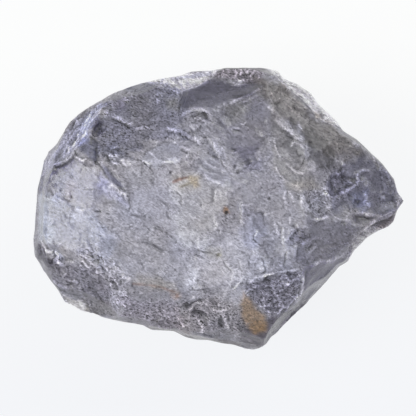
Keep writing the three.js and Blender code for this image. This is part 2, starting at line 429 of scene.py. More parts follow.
ZONES: tuple[Zone, ...] = (
    # the broad upper break, painted bright on the left where it faces the lamp and grey on the
    # right
    Zone((-1472, 103, -1278, 87, -1084, 6, -922, -107, -792, -220, -792, -334, -922, -431,
        -1035, -334, -1197, -317, -1318, -334, -1391, -253, -1480, -253),
        Break.SILKY, (1.00, 1.06, 1.20), 1.2, 0.6),
    Zone((-1278, 313, -954, 354, -695, 30, -550, -131, -178, -334, -226, -617, -792, -495,
        -922, -334, -1035, -131, -1278, 71), Break.SILKY, (1.41, 1.44, 1.45), 1.2, 0.6),
    Zone((-340, 184, -146, 232, 32, 168, 65, 30, -32, -123, -178, -301, -275, -293, -323, -51),
        Break.PLAIN, (1.48, 1.50, 1.41), 1.2, 0.6),
    Zone((-186, -317, -16, -188, 178, -131, 323, -253, 356, -431, 243, -536, 202, -738, 113, -786,
        -32, -673, -178, -617), Break.MOTTLED, (1.70, 1.73, 1.70), 2.0, 1.0),
    Zone((162, 30, 356, -26, 356, -253, 259, -301, 178, -188), None, (0.76, 0.77, 0.84), 0.8, 0.4),
    Zone((243, 103, 437, 168, 663, 152, 792, 71, 712, -107, 631, -253, 534, -479, 356, -431,
        323, -188), Break.MOTTLED, (1.16, 1.19, 1.22), 1.4, 0.8),
    Zone((-760, 410, -582, 346, -340, 362, -162, 249, -323, 168, -323, -59, -259, -301, -501, -156,
        -663, 30), Break.PLAIN, (1.48, 1.50, 1.49), 1.2, 0.6),
    Zone((81, 265, 243, 313, 404, 265, 437, 168, 243, 103, 162, 22, 65, 38),
        Break.PLAIN, (0.98, 0.98, 0.96), 1.0, 0.6),
    Zone((-146, 418, -81, 418, 16, 354, 89, 265, 105, 200, 8, 184, -89, 224, -146, 313),
        Break.SMOOTH, (1.09, 1.11, 1.12), 0.3, 0.15),
    # the facets around it
    Zone((-922, 847, -728, 960, -631, 1017, -469, 1009, -307, 952, -259, 847, -226, 750, -275, 637,
        -146, 532, -259, 548, -404, 556, -534, 540, -631, 491, -728, 475, -857, 467, -930, 459,
        -970, 556, -922, 718), Break.ROUGH, (0.59, 0.60, 0.69), 0.5, 0.5),
    Zone((-809, 701, -663, 653, -712, 556, -873, 507, -922, 604),
        Break.CRUMBLY, (1.01, 1.02, 1.08), 0.6, 0.5),
    Zone((-841, 847, -744, 879, -728, 799, -809, 782), None, (1.14, 1.11, 1.22), 0.5, 0.3),
    Zone((-283, 944, -146, 993, -49, 1041, 49, 1025, 218, 1001, 356, 976, 275, 936, 146, 879,
        49, 831, -40, 774, -113, 790, -194, 807, -275, 782),
        Break.SMOOTH, (0.33, 0.325, 0.38), 0.4, 0.3),
    Zone((-49, 1041, 32, 1138, 178, 1146, 356, 1130, 356, 1009, 218, 1009, 49, 1041),
        Break.CRUMBLY, (0.68, 0.63, 0.65), 0.4, 0.3),
    Zone((-16, 782, 162, 847, 356, 912, 420, 799, 420, 637, 356, 491, 178, 346, 113, 297, 65, 475,
        -16, 637), Break.MOTTLED, (0.66, 0.66, 0.70), 0.8, 0.5),
    Zone((49, 815, 210, 815, 210, 685, 81, 653), None, (1.12, 1.13, 1.00), 0.8, 0.4),
    Zone((146, 475, 323, 499, 323, 313, 178, 297), None, (0.78, 0.77, 0.85), 0.7, 0.5),
    Zone((-946, 871, -1075, 774, -1181, 685, -1261, 572, -1375, 410, -1431, 313, -1456, 168,
        -1415, 119, -1383, 216, -1342, 305, -1278, 362, -1181, 402, -1116, 491, -1035, 564,
        -995, 677, -954, 782, -889, 855), Break.STRIATED, (1.51, 1.54, 1.79), 0.4, 0.3),
    Zone((-1100, 782, -954, 847, -970, 734, -1035, 572, -1100, 572, -1132, 669),
        None, (0.90, 0.94, 1.01), 0.6, 0.4),
    Zone((-1084, 540, -1019, 564, -962, 548, -954, 475, -970, 378, -978, 346, -1019, 362,
        -1035, 418, -1100, 443, -1124, 475), None, (0.46, 0.48, 0.60), 0.4, 0.3),
    Zone((-1375, 232, -1334, 313, -1278, 354, -1181, 394, -1108, 378, -1164, 330, -1245, 281,
        -1310, 232, -1350, 184), None, (0.45, 0.43, 0.56), 0.4, 0.3),
    Zone((-954, 475, -712, 475, -679, 394, -809, 330, -938, 394),
        Break.CHUNKY, (0.69, 0.71, 0.77), 0.6, 0.4),
    Zone((-606, 394, -582, 459, -469, 507, -356, 532, -299, 491, -275, 410, -340, 370, -437, 378,
        -485, 313, -582, 346), Break.SMOOTH, (1.18, 1.22, 1.27), 0.4, 0.2),
    Zone((-930, 394, -873, 330, -833, 265, -784, 224, -736, 192, -712, 135, -760, 152, -809, 168,
        -857, 216, -898, 273, -938, 338), Break.SMOOTH, (0.59, 0.61, 0.78), 0.3, 0.15),
    Zone((-938, 313, -873, 232, -801, 152, -736, 87, -712, 22, -776, 46, -873, 87, -938, 184),
        None, (1.44, 1.45, 1.62), 0.4, 0.2),
    Zone((-1358, 249, -1261, 313, -1116, 362, -970, 330, -889, 216, -922, 71, -1067, 22, -1261, 87,
        -1391, 135), Break.MOTTLED, (0.67, 0.68, 0.80), 1.4, 0.6),
    Zone((-978, 726, -930, 718, -906, 677, -930, 629, -962, 588, -1003, 572, -1019, 604, -995, 653,
        -987, 701), None, (0.34, 0.33, 0.43), 0.5, 0.4),
    Zone((-1480, 119, -1472, 200, -1439, 265, -1391, 281, -1391, 208, -1415, 152, -1447, 111),
        None, (0.32, 0.31, 0.39), 0.4, 0.3),
    Zone((-1456, 119, -1334, 135, -1318, -91, -1310, -285, -1456, -285),
        None, (1.46, 1.52, 1.46), 0.4, 0.3),
    Zone((-922, 782, -881, 790, -865, 734, -914, 726), None, (3.60, 3.60, 3.60), 0.25, 0.15),
    Zone((-987, 491, -962, 467, -954, 394, -970, 338, -1003, 330, -995, 410),
        None, (0.53, 0.555, 0.72), 0.3, 0.2),
    # the right-hand end
    Zone((307, 1041, 501, 1009, 663, 863, 784, 734, 906, 653, 1035, 556, 1148, 435, 1003, 378,
        825, 459, 704, 556, 582, 677, 461, 734, 356, 879),
        Break.DRAWN, (0.64, 0.61, 0.54), 0.6, 0.4),
    Zone((566, 701, 663, 637, 841, 556, 954, 410, 906, 297, 776, 313, 695, 394, 687, 524, 598, 604),
        Break.SHELLY, (0.33, 0.33, 0.33), 0.7, 0.5),
    Zone((420, 718, 566, 669, 663, 540, 695, 394, 760, 265, 809, 152, 663, 152, 534, 200, 437, 330),
        Break.SHELLY, (0.80, 0.79, 0.72), 0.7, 0.4),
    Zone((873, 297, 1027, 370, 1164, 410, 1278, 354, 1375, 232, 1439, 103, 1399, -10, 1278, -34,
        1148, -18, 1027, -26, 938, -26, 889, 71, 865, 184),
        Break.FACETED, (0.54, 0.55, 0.65), 0.5, 0.4),
    Zone((1092, 119, 1197, 152, 1221, 30, 1148, -18, 1092, 22), None, (1.13, 1.20, 1.41), 0.5, 0.3),
    Zone((663, 152, 841, 168, 906, 71, 906, -75, 760, -107, 695, 6),
        Break.CHUNKY, (1.06, 1.07, 1.12), 0.6, 0.4),
    Zone((1067, -42, 1245, -67, 1407, -34, 1439, 22, 1496, 71, 1456, -42, 1375, -123, 1294, -164,
        1164, -139, 1067, -107), Break.SMOOTH, (0.50, 0.49, 0.53), 0.4, 0.2),
    Zone((687, -75, 865, -107, 1051, -107, 1164, -156, 1084, -220, 1051, -334, 906, -382, 744, -439,
        663, -455, 598, -398, 631, -285, 728, -204), Break.SHEER, (0.75, 0.75, 0.80), 0.5, 0.3),
    Zone((582, -139, 695, -156, 728, -237, 647, -301, 582, -253),
        Break.CHUNKY, (0.54, 0.53, 0.60), 0.5, 0.3),
    Zone((671, -479, 784, -439, 906, -398, 1067, -350, 1003, -479, 865, -617, 744, -738, 687, -754,
        671, -617), Break.SMOOTH, (0.39, 0.375, 0.455), 0.3, 0.2),
    Zone((1439, 144, 1472, 119, 1512, 63, 1488, 22, 1447, 6, 1423, 63),
        None, (1.14, 1.12, 1.08), 0.35, 0.2),
    Zone((1294, -131, 1350, -91, 1407, -51, 1447, -10, 1415, -107, 1350, -156, 1278, -172),
        None, (1.66, 1.54, 1.42), 0.3, 0.2),
    Zone((841, 330, 938, 362, 1019, 330, 1059, 232, 1035, 119, 954, 55, 873, 103, 833, 216),
        Break.SHARDS, (0.81, 0.80, 0.82), 0.5, 0.4),
    # the near side
    Zone((202, -608, 299, -576, 380, -544, 501, -520, 655, -495, 663, -617, 631, -754, 550, -867,
        469, -932, 404, -900, 323, -786, 259, -714, 218, -657),
        Break.NETTED, (0.69, 0.68, 0.74), 0.35, 0.25),
    Zone((340, -883, 501, -867, 663, -738, 728, -754, 582, -916, 404, -1061, 323, -1110, 178, -1077,
        178, -980), Break.PLAIN, (0.40, 0.37, 0.40), 0.5, 0.3),
    Zone((-1496, -285, -1423, -237, -1358, -334, -1261, -431, -1148, -439, -1019, -463, -922, -552,
        -849, -657, -873, -770, -970, -786, -1084, -738, -1181, -722, -1294, -657, -1375, -544,
        -1472, -414), Break.HATCHED, (0.72, 0.70, 0.74), 0.5, 0.4),
    Zone((-1488, -301, -1391, -301, -1326, -431, -1375, -479, -1472, -414),
        None, (0.36, 0.35, 0.41), 0.4, 0.3),
    Zone((-1116, -301, -987, -301, -792, -479, -728, -657, -712, -803, -825, -851, -906, -706,
        -987, -511, -1084, -431), Break.HATCHED, (1.18, 1.16, 1.16), 0.7, 0.5),
    Zone((-1067, -706, -873, -738, -792, -883, -987, -867, -1084, -851),
        Break.CRUMBLY, (0.74, 0.72, 0.67), 0.4, 0.3),
    Zone((-792, -706, -307, -706, -307, -980, -550, -980, -776, -916),
        Break.CRUMBLY, (1.14, 1.10, 1.15), 0.7, 0.5),
    Zone((-534, -835, -323, -900, -323, -980, -518, -948), None, (0.79, 0.78, 0.78), 0.5, 0.4),
    Zone((-340, -722, -32, -689, 178, -786, 226, -980, 146, -1045, -97, -997, -307, -948),
        Break.CRUMBLY, (0.99, 0.96, 0.94), 0.6, 0.5),
    Zone((-566, -940, -348, -972, -146, -1021, 178, -1077, 226, -1142, 57, -1102, -178, -1069,
        -283, -1061, -372, -997, -550, -989), Break.SMOOTH, (0.62, 0.58, 0.53), 0.25, 0.15),
    Zone((-873, -625, -792, -600, -728, -681, -728, -770, -809, -835, -873, -786),
        Break.CRUMBLY, (1.22, 1.24, 1.27), 0.6, 0.4),
    Zone((-1342, -325, -1278, -317, -1245, -382, -1261, -439, -1310, -414),
        None, (2.08, 2.16, 2.20), 0.4, 0.3),
    # frosted ledges where thin flakes have gone, pale of their own and made far paler with painted
    # light shining through their thin edges
    Zone((-631, 1041, -461, 1057, -226, 1090, -40, 1122, 32, 1138, -57, 1049, -146, 993, -243, 952,
        -307, 936, -404, 976, -534, 1017), Break.LEDGE, (3.60, 3.60, 3.60), 0.3, 0.15),
    Zone((-461, 1049, -226, 1077, -146, 1106, -32, 1114, -89, 1073, -210, 1053, -356, 1045),
        None, (0.56, 0.58, 0.62), 0.2, 0.1),
    Zone((404, 1138, 493, 1114, 550, 1041, 647, 1017, 736, 960, 809, 871, 889, 807, 954, 742,
        1011, 645, 906, 677, 825, 710, 776, 742, 728, 815, 663, 887, 582, 952, 501, 1009),
        Break.LEDGE, (3.60, 3.60, 3.60), 0.3, 0.15),
    Zone((1326, -156, 1213, -237, 1156, -301, 1100, -350, 1067, -431, 1043, -382, 1059, -309,
        1075, -253, 1132, -204, 1197, -139, 1245, -99), Break.LEDGE, (3.24, 3.24, 3.15), 0.3, 0.15),
    Zone((-1278, -665, -1229, -689, -1164, -730, -1092, -754, -1051, -803, -1051, -859, -1132, -843,
        -1205, -786, -1261, -730), Break.LEDGE, (2.32, 2.27, 1.97), 0.35, 0.25),
)

SCOOPS: tuple[Scoop, ...] = (
    # scars that are seen as shapes
    Scoop((-1.54, 7.18), 0.90, 0.50, 8, 0.13, 0.0),
    Scoop((-8.41, 2.49), 1.75, 0.50, -48, 0.20, 0.0),
    Scoop((-7.92, 4.43), 0.70, 0.22, 0, 0.16, 1.0, -0.15),
    Scoop((-1.7, -7.62), 0.80, 0.42, 25, 0.26, 2.0),
    Scoop((-1.54, -8.43), 0.70, 0.50, -30, 0.22, 1.0),
    Scoop((0.32, -9.08), 0.40, 0.80, 0, 0.20, 1.0),
    Scoop((5.74, 4.59), 1.60, 1.05, -55, 0.24, 3.0),
    Scoop((5.34, 3.13), 1.30, 0.70, -50, 0.16, 2.0),
    Scoop((2.26, 3.94), 1.20, 0.95, 70, 0.22, 2.0),
    Scoop((-0.24, 2.97), 1.40, 0.70, -25, 0.16, 3.0),
    Scoop((-9.62, 6.53), 0.80, 0.42, 60, 0.06, 0.0, 0.1),
    Scoop((-10.27, 4.18), 0.70, 0.80, 0, -0.26, 0.0),
    Scoop((-4.53, 4.51), 1.55, 0.75, 10, 0.10, 1.0),
    Scoop((4.2, -3.34), 1.10, 1.50, 0, 0.16, 2.0),
    Scoop((2.91, -4.47), 0.75, 0.85, 10, 0.12, 1.0),
    Scoop((8.25, -2.53), 1.90, 1.20, 25, 0.14, 2.0),
    Scoop((11.32, 1.03), 1.20, 1.00, 0, 0.20, 2.0),
    Scoop((9.54, 1.84), 0.90, 1.10, 0, 0.28, 2.0),
    Scoop((7.92, 0.22), 0.90, 1.00, 30, 0.20, 2.0),
    Scoop((-5.9, 7.82), 1.60, 1.00, -20, 0.18, 3.0),
    Scoop((-7.92, 8.39), 0.85, 0.60, -15, 0.16, 2.0),
    Scoop((-4.53, 8.79), 0.90, 0.90, 40, 0.16, 2.0),
    Scoop((-8.09, 5.8), 1.10, 0.80, 0, 0.18, 2.0),
    Scoop((0.97, 7.18), 1.20, 0.95, 30, 0.14, 2.0),
    Scoop((-12.78, -6.17), 1.40, 0.50, -55, 0.14, 3.0),
    Scoop((11.48, -0.83), 0.80, 0.45, -12, 0.12, 0.0, 0.1),
    # small pits, darkened with painted shade
    Scoop((-2.02, 6.13), 0.30, 0.17, -60, 0.14, 0.0, 0.4),
    Scoop((-2.39, 5.6), 0.26, 0.16, -40, 0.10, 0.0, 0.35),
    Scoop((-1.01, 5.64), 0.16, 0.12, 0, 0.10, 0.0, 0.5),
    Scoop((-0.28, 4.12), 0.28, 0.11, -15, 0.12, 0.0, 0.6),
    Scoop((1.29, 3.3), 0.26, 0.13, 70, 0.10, 0.0, 0.35),
    Scoop((1.54, 2.97), 0.22, 0.17, 45, 0.10, 0.0, 0.4),
    Scoop((1.21, 4.67), 0.32, 0.13, 0, 0.12, 0.0, 0.35),
    Scoop((2.35, 3.78), 0.36, 0.22, 0, 0.14, 0.0, 0.4),
    Scoop((3.07, 4.75), 0.18, 0.13, 0, 0.12, 0.0, 0.45),
    Scoop((3.6, -0.42), 0.18, 0.16, 0, 0.10, 0.0, 0.4),
    Scoop((4.04, 0.79), 0.20, 0.14, 45, 0.12, 0.0, 0.5),
    Scoop((6.39, 0.87), 0.26, 0.15, 70, 0.10, 0.0, 0.35),
    Scoop((7.12, 0.55), 0.32, 0.18, 0, 0.10, 0.0, 0.35),
    Scoop((5.98, -1.39), 0.26, 0.20, 0, 0.10, 0.0, 0.35),
    Scoop((11.28, 0.63), 0.24, 0.20, 0, 0.12, 0.0, 0.45),
    Scoop((6.47, 2.32), 0.16, 0.40, 0, 0.10, 0.0, 0.3),
    Scoop((0, -3.66), 0.16, 0.12, 0, 0.10, 0.0, 0.5),
    Scoop((-1.33, 0.26), 0.14, 0.11, 0, 0.10, 0.0, 0.5),
    Scoop((-2.02, -6.25), 0.14, 0.11, 0, 0.10, 0.0, 0.5),
    Scoop((-7.76, -5.92), 0.18, 0.30, 0, 0.12, 0.0, 0.4),
    Scoop((-7.6, -7.14), 0.22, 0.20, 0, 0.12, 0.0, 0.4),
    Scoop((-2.75, 2.65), 0.90, 0.40, 30, 0.06, 0.0),
)

# each ridge carries a painted highlight on its crest and painted shadow at its foot, and each crack
# painted shade
LINES: tuple[Line, ...] = (
    # the far left: streaks on the rim facet, the step below it and the wedge
    Line((-995, 782, -1027, 750, -1051, 701, -1075, 645, -1092, 588), 0.07, 0.35),
    Line((-978, 750, -1011, 710, -1035, 653, -1051, 596, -1084, 548, -1116, 499), 0.07, 0.45),
    Line((-1084, 669, -1108, 613, -1124, 564, -1148, 507, -1164, 467), 0.07, 0.5),
    Line((-1108, 580, -1132, 540, -1148, 499), 0.06, 0.35),
    Line((-1197, 532, -1189, 483, -1181, 435), 0.07, 0.45),
    Line((-1011, 839, -1067, 799, -1116, 742, -1164, 693, -1197, 645), 0.10, -0.35),
    Line((-1092, 685, -1132, 661, -1164, 629, -1181, 588), 0.10, -0.5),
    Line((-1140, 588, -1173, 540, -1205, 483, -1229, 427), 0.07, -0.35),
    Line((-1302, 475, -1342, 410, -1383, 346), 0.07, 0.35),
    Line((-1245, 475, -1294, 418, -1326, 370), 0.07, -0.35),
    Line((-1375, 249, -1342, 309, -1302, 346, -1261, 366, -1213, 382, -1173, 410, -1140, 459,
        -1108, 499, -1067, 540, -1027, 564), 0.09, 0.6, -0.4),
    Line((-1383, 208, -1358, 273, -1318, 313, -1261, 346, -1197, 370, -1156, 410, -1124, 467),
        0.16, -0.7),
    Line((-987, 701, -962, 758, -930, 815, -889, 855), 0.08, 0.5, -0.3),
    # a painted glint
    Line((-1124, 418, -1092, 386, -1051, 370), 0.12, 1.2),
    Line((-1140, 467, -1124, 435, -1116, 410), 0.08, -0.66),
    Line((-970, 515, -954, 459, -954, 394, -970, 346), 0.12, -0.4),
    Line((-1084, 507, -1075, 475, -1067, 451), 0.10, -0.4),
    Line((-1294, 232, -1245, 216, -1197, 192, -1148, 176, -1084, 160, -1027, 152, -946, 152),
        0.055, -0.5),
    Line((-1278, 95, -1213, 95, -1148, 95), 0.05, -0.4),
    Line((-1350, 160, -1326, 119, -1310, 95), 0.08, -0.5),
    Line((-1261, 135, -1229, 160, -1221, 176), 0.08, -0.55),
    Line((-1229, 87, -1189, 63, -1156, 55), 0.06, -0.5),
    Line((-1181, 135, -1164, 87, -1140, 71), 0.05, -0.44),
    Line((-1189, 297, -1173, 265, -1156, 232), 0.06, -0.4),
    Line((-1132, -2, -1092, -10, -1051, -18), 0.08, 0.8),
    Line((-987, -18, -954, -26, -922, -26), 0.05, -0.66),
    Line((-1019, -75, -978, -83), 0.05, -0.4),
    Line((-930, 386, -906, 330, -873, 257, -833, 192, -784, 152, -736, 103, -704, 38),
        0.09, 0.5, 0.4),
    Line((-857, 200, -817, 168, -776, 135, -744, 95), 0.14, 0.45, -0.4),
    Line((-946, 370, -906, 305, -865, 241, -817, 192, -760, 152, -712, 127), 0.12, -0.25),
    Line((-752, 127, -720, 111), 0.07, 1.0),
    Line((-704, 87, -695, 22, -704, -34), 0.05, -0.6),
    Line((-704, -34, -655, -51, -606, -75, -574, -99, -542, -131), 0.06, -0.4),
    Line((-922, 38, -865, 46, -809, 38, -752, 6, -704, -26), 0.08, -0.35, -0.4),
    # the upper left facet
    Line((-881, 863, -857, 839, -841, 815, -817, 799), 0.08, 0.7, 0.4),
    Line((-865, 782, -849, 750, -817, 726, -784, 714, -744, 693, -704, 673, -663, 669),
        0.11, 1.1, 0.5),
    Line((-865, 758, -833, 718, -784, 693, -736, 669, -679, 645), 0.09, -0.4),
    Line((-679, 649, -655, 633, -623, 637, -582, 647, -542, 651, -501, 645), 0.10, 1.0, -0.5),
    Line((-477, 613, -445, 625, -420, 629), 0.07, 0.6),
    Line((-420, 637, -380, 629, -340, 613, -307, 613, -275, 600), 0.10, 0.9, 0.5),
    Line((-267, 596, -235, 572, -202, 556, -162, 536, -146, 499), 0.10, 0.7, 0.5),
    Line((-615, 596, -582, 580, -550, 588), 0.10, -0.5),
    Line((-736, 960, -712, 928, -687, 904, -647, 879), 0.07, 0.6, 0.4),
    Line((-784, 920, -760, 896, -736, 887), 0.06, 0.5),
    Line((-744, 871, -704, 863), 0.06, 0.5),
    Line((-526, 896, -501, 912, -469, 936, -445, 912), 0.07, 0.7),
    Line((-493, 887, -485, 855, -469, 879), 0.07, 0.8),
    Line((-509, 976, -485, 960, -445, 960), 0.10, -0.4),
    Line((-598, 807, -558, 782, -526, 750, -493, 718), 0.06, -0.35),
    Line((-606, 823, -574, 799, -542, 774), 0.06, 0.35),
    Line((-315, 936, -299, 887, -307, 815, -315, 750), 0.09, -0.5),
    Line((-332, 952, -323, 912, -332, 871), 0.06, 0.4),
    Line((-857, 471, -825, 483, -784, 479), 0.08, 1.0),
    Line((-857, 459, -825, 463, -784, 459), 0.07, -0.6),
    Line((-865, 427, -833, 413, -792, 416), 0.08, 1.1),
    Line((-736, 459, -728, 427), 0.12, -0.6),
    Line((-922, 435, -889, 418, -857, 386, -825, 370), 0.08, -0.55),
    Line((-849, 386, -817, 362, -776, 362), 0.09, 0.7),
    Line((-768, 394, -744, 362, -720, 338), 0.07, 0.7),
    Line((-776, 410, -712, 418, -655, 386, -623, 370), 0.07, -0.5),
    Line((-946, 507, -938, 467, -946, 427), 0.06, 0.5),
    # the smooth scar and the cracks of the broad face
    Line((-679, 418, -631, 394, -566, 346, -526, 313, -493, 257), 0.06, -0.45),
    Line((-606, 378, -558, 362, -509, 354), 0.06, 0.5),
    Line((-542, 451, -509, 418, -485, 386), 0.07, 0.3),
    Line((-469, 346, -420, 362, -356, 374, -283, 394), 0.07, 0.3),
    Line((-453, 410, -429, 378, -388, 378), 0.08, -0.35),
    Line((-606, 394, -574, 459, -526, 483, -469, 507, -404, 532, -348, 507, -299, 475),
        0.06, -0.25),
    Line((-299, 467, -267, 443, -226, 418), 0.07, -0.45),
    Line((-307, 475, -259, 475, -210, 459), 0.08, 0.35),
    Line((-259, 418, -235, 427), 0.08, 0.7),
    Line((-526, 241, -518, 200, -509, 176), 0.10, -0.35),
    Line((-501, 354, -453, 330, -404, 321), 0.05, -0.35),
    Line((-388, 289, -364, 281), 0.10, -0.66),
    Line((-695, 289, -655, 257, -606, 241), 0.05, -0.35),
    Line((-615, 330, -606, 281, -598, 249), 0.08, -0.3),
    Line((-477, 79, -437, 55, -404, 30, -388, -10), 0.07, -0.45),
    Line((-412, -10, -404, -59, -380, -83), 0.09, -0.35),
    Line((-582, -261, -526, -285, -469, -317, -412, -350), 0.09, -0.3),
    Line((-380, -204, -348, -237, -323, -269), 0.07, -0.25),
    Line((-170, -317, -129, -334, -81, -342, -32, -358), 0.06, -0.5),
    Line((-364, 216, -323, 232, -267, 241, -218, 257, -186, 289, -162, 330), 0.05, -0.45),
    Line((-299, 176, -251, 184, -226, 200), 0.06, -0.5),
    Line((-243, -657, -226, -641, -178, -641, -97, -637, -24, -649), 0.05, -0.5),
    Line((-429, -495, -404, -479, -372, -463), 0.05, -0.45),
    Line((-623, -398, -598, -439, -590, -479), 0.05, -0.35),
    Line((-49, 176, -40, 135, -49, 95, -40, 46), 0.14, -0.35),
    Line((-146, -107, -105, -99, -49, -51), 0.05, -0.35),
    Line((-16, -164, 16, -180), 0.05, -0.55),
    Line((8, -156, 8, -212), 0.05, -0.4),
    # the arch and the long petals in the middle
    Line((-299, 734, -259, 758, -226, 782, -186, 794, -137, 790, -97, 766, -73, 726, -65, 693),
        0.10, 0.5, 0.4),
    Line((-226, 718, -202, 742, -162, 758, -121, 754, -97, 734, -81, 710), 0.10, -0.6),
    Line((-218, 685, -186, 669, -154, 673), 0.08, -0.5),
    Line((-178, 710, -146, 714, -113, 701, -89, 685), 0.12, 0.25),
    Line((-307, 718, -291, 677, -275, 637), 0.07, -0.5),
    Line((-40, 548, -32, 507, -16, 475, 8, 443, 16, 410), 0.06, 0.35, 0.5),
    Line((24, 499, 40, 459, 57, 418, 73, 378), 0.06, 0.4, 0.5),
    Line((8, 402, 32, 362, 57, 330, 97, 281), 0.07, -0.5),
    Line((32, 378, 57, 338, 89, 293, 129, 257), 0.06, 0.5, 0.5),
    Line((-146, 386, -129, 346, -97, 313, -57, 289), 0.07, -0.3),
    Line((-121, 390, -89, 362, -49, 338, 0, 313, 65, 297), 0.06, 0.35, -0.5),
    Line((-97, 330, -49, 305, 8, 281, 81, 265), 0.10, -0.25),
    Line((-121, 273, -81, 237, -32, 216, 16, 200, 89, 192), 0.07, 0.35, -0.5),
    Line((-16, 200, 16, 216, 65, 232, 121, 241), 0.07, 0.2),
    Line((113, 653, 146, 637, 178, 629), 0.06, 0.5),
    Line((113, 637, 146, 621, 178, 617), 0.07, -0.7),
    Line((178, 677, 202, 661, 226, 685), 0.07, 0.5),
    Line((259, 297, 291, 273, 315, 249), 0.06, 0.35),
    Line((267, 451, 283, 410, 315, 370), 0.07, -0.3),
    # the smooth dark facet and its ridges
    Line((356, 960, 299, 932, 251, 908, 202, 879, 146, 851, 57, 811), 0.09, 0.6, -0.4),
    Line((356, 920, 275, 879, 202, 847, 121, 815), 0.08, 0.45, -0.3),
    Line((105, 887, 154, 896, 194, 908, 226, 928), 0.13, -0.45),
    Line((113, 993, 178, 985, 243, 993), 0.06, 0.3),
    Line((154, 1025, 186, 1020, 210, 1025), 0.09, 1.2),
    Line((218, 1017, 251, 1025, 275, 1033), 0.08, 1.0),
    Line((40, 1106, 40, 1073, 65, 1057, 105, 1049), 0.07, 0.9),
    Line((121, 1106, 154, 1082, 137, 1049), 0.07, 0.7),
    Line((251, 1041, 275, 1073, 291, 1090, 315, 1065), 0.08, 0.9),
    Line((57, 1122, 89, 1106, 89, 1073), 0.06, 0.9),
    Line((162, 1122, 186, 1098, 170, 1065), 0.06, 0.8),
    Line((202, 1114, 226, 1090, 259, 1098), 0.06, 0.9),
    Line((97, 1025, 129, 1049, 178, 1041), 0.06, 0.7),
    Line((291, 1049, 323, 1041, 340, 1073), 0.06, 0.7),
    Line((364, 993, 368, 952), 0.10, -0.4),
    Line((404, 928, 429, 896, 437, 871), 0.08, 0.5),
    Line((396, 815, 429, 782, 445, 750), 0.12, 0.4),
    Line((469, 855, 477, 807, 485, 758), 0.20, -0.4),
    # the nested arcs on the right
    Line((437, 718, 477, 685, 526, 637, 582, 588, 623, 556, 663, 540, 695, 540), 0.13, 0.6, 0.4),
    Line((509, 629, 550, 604, 582, 572, 598, 540), 0.09, -0.6),
    Line((695, 540, 699, 499, 704, 459, 720, 410), 0.08, 0.5),
    Line((744, 532, 744, 483, 736, 427), 0.22, -0.3),
    Line((437, 556, 445, 507, 469, 459, 493, 418, 509, 394), 0.07, 0.8),
    Line((534, 386, 558, 346, 590, 313, 631, 285, 679, 273), 0.08, 0.9),
    Line((453, 346, 469, 305, 493, 265, 518, 232, 550, 200), 0.08, 0.85),
    Line((574, 491, 598, 524, 623, 524, 655, 499, 671, 459), 0.08, 0.5),
    Line((615, 475, 631, 443, 655, 410), 0.10, -0.5),
    Line((687, 418, 675, 378, 655, 338), 0.05, -1.1),
    Line((809, 475, 817, 435, 833, 386, 857, 338, 873, 313), 0.09, 0.7),
    Line((865, 475, 881, 427, 914, 394, 962, 378), 0.07, 0.45),
    Line((639, 710, 647, 669, 671, 629, 695, 604), 0.08, 0.55),
    Line((566, 701, 606, 693, 631, 661), 0.20, -0.3),
    Line((712, 645, 736, 613, 760, 572), 0.07, 0.35),
    Line((809, 572, 841, 540, 881, 507), 0.06, 0.55),
    Line((930, 548, 962, 507), 0.07, 0.5),
    Line((1035, 475, 1067, 435, 1092, 402), 0.05, 0.35),
    Line((978, 370, 1011, 346), 0.09, 0.8),
    Line((518, 847, 558, 815, 598, 774, 631, 734), 0.08, 0.45),
    Line((550, 904, 606, 871, 663, 823), 0.07, 0.4),
    Line((639, 831, 695, 807, 752, 774), 0.06, 0.4),
    Line((509, 1001, 582, 952, 655, 887, 720, 815, 768, 750, 809, 710, 873, 685, 946, 669,
        1003, 645), 0.09, -0.6),
    Line((566, 985, 615, 936, 671, 896, 728, 823), 0.09, 0.4, 0.3),
    Line((768, 774, 792, 734, 833, 710, 881, 693), 0.10, 0.6),
    # the dark right-hand end
    Line((1148, 317, 1189, 309, 1229, 305), 0.08, 0.9),
    Line((1132, 208, 1075, 168, 1027, 144, 995, 127, 970, 95, 946, 38), 0.12, 0.5, 0.4),
    Line((1116, 305, 1108, 257, 1132, 216), 0.08, 0.35),
    Line((1011, 216, 1059, 200, 1108, 184), 0.06, 0.4),
    Line((987, 257, 1027, 241, 1067, 232, 1108, 232), 0.16, -0.6),
    Line((938, 224, 954, 184, 946, 152), 0.07, 0.6),
    Line((906, 224, 914, 176, 938, 144), 0.20, -0.55),
    Line((954, 265, 987, 289, 1011, 313), 0.07, 0.4),
    Line((889, -10, 930, -2, 970, 22), 0.12, -0.4),
    Line((1067, -30, 1124, -34, 1181, -42, 1237, -59, 1302, -63, 1375, -38, 1439, 6),
        0.12, 0.7, 0.3),
    Line((1092, -59, 1148, -75, 1213, -83), 0.16, -0.35),
    Line((1059, -26, 1027, -67, 1019, -99, 1067, -123), 0.09, 0.5),
    Line((1156, -164, 1205, -119, 1261, -91, 1342, -75, 1415, -34), 0.10, 0.5, 0.3),
    Line((752, -87, 792, -85, 833, -79, 865, -67, 889, -51), 0.08, 1.2),
    Line((687, -26, 728, -51, 768, -71), 0.12, -0.55),
    Line((825, -26, 857, -42), 0.25, -0.45),
    Line((752, -139, 792, -115, 841, -91), 0.08, -0.45),
    Line((970, -107, 1011, -123), 0.12, -0.45),
    Line((906, -59, 954, -83, 1011, -99), 0.06, 0.35),
    Line((1342, 305, 1367, 257, 1391, 208), 0.08, 0.6),
    Line((1399, 103, 1415, 152, 1399, 192), 0.09, 0.5),
    Line((987, 119, 1035, 152, 1084, 176, 1116, 216, 1108, 265, 1148, 305, 1205, 305), 0.11, 0.55),
    Line((1164, 127, 1197, 103, 1197, 63, 1164, 46), 0.10, 0.5),
    Line((1391, 208, 1407, 152, 1407, 95, 1399, 38), 0.20, -0.4),
    Line((1237, 443, 1253, 410, 1270, 378), 0.08, 0.6),
    Line((1431, 71, 1456, 46, 1439, -10), 0.09, 0.5),
    Line((1318, 103, 1326, 63), 0.12, 0.6),
    Line((1197, 46, 1221, 14), 0.14, 0.45),
    # the crumbled field right of the middle
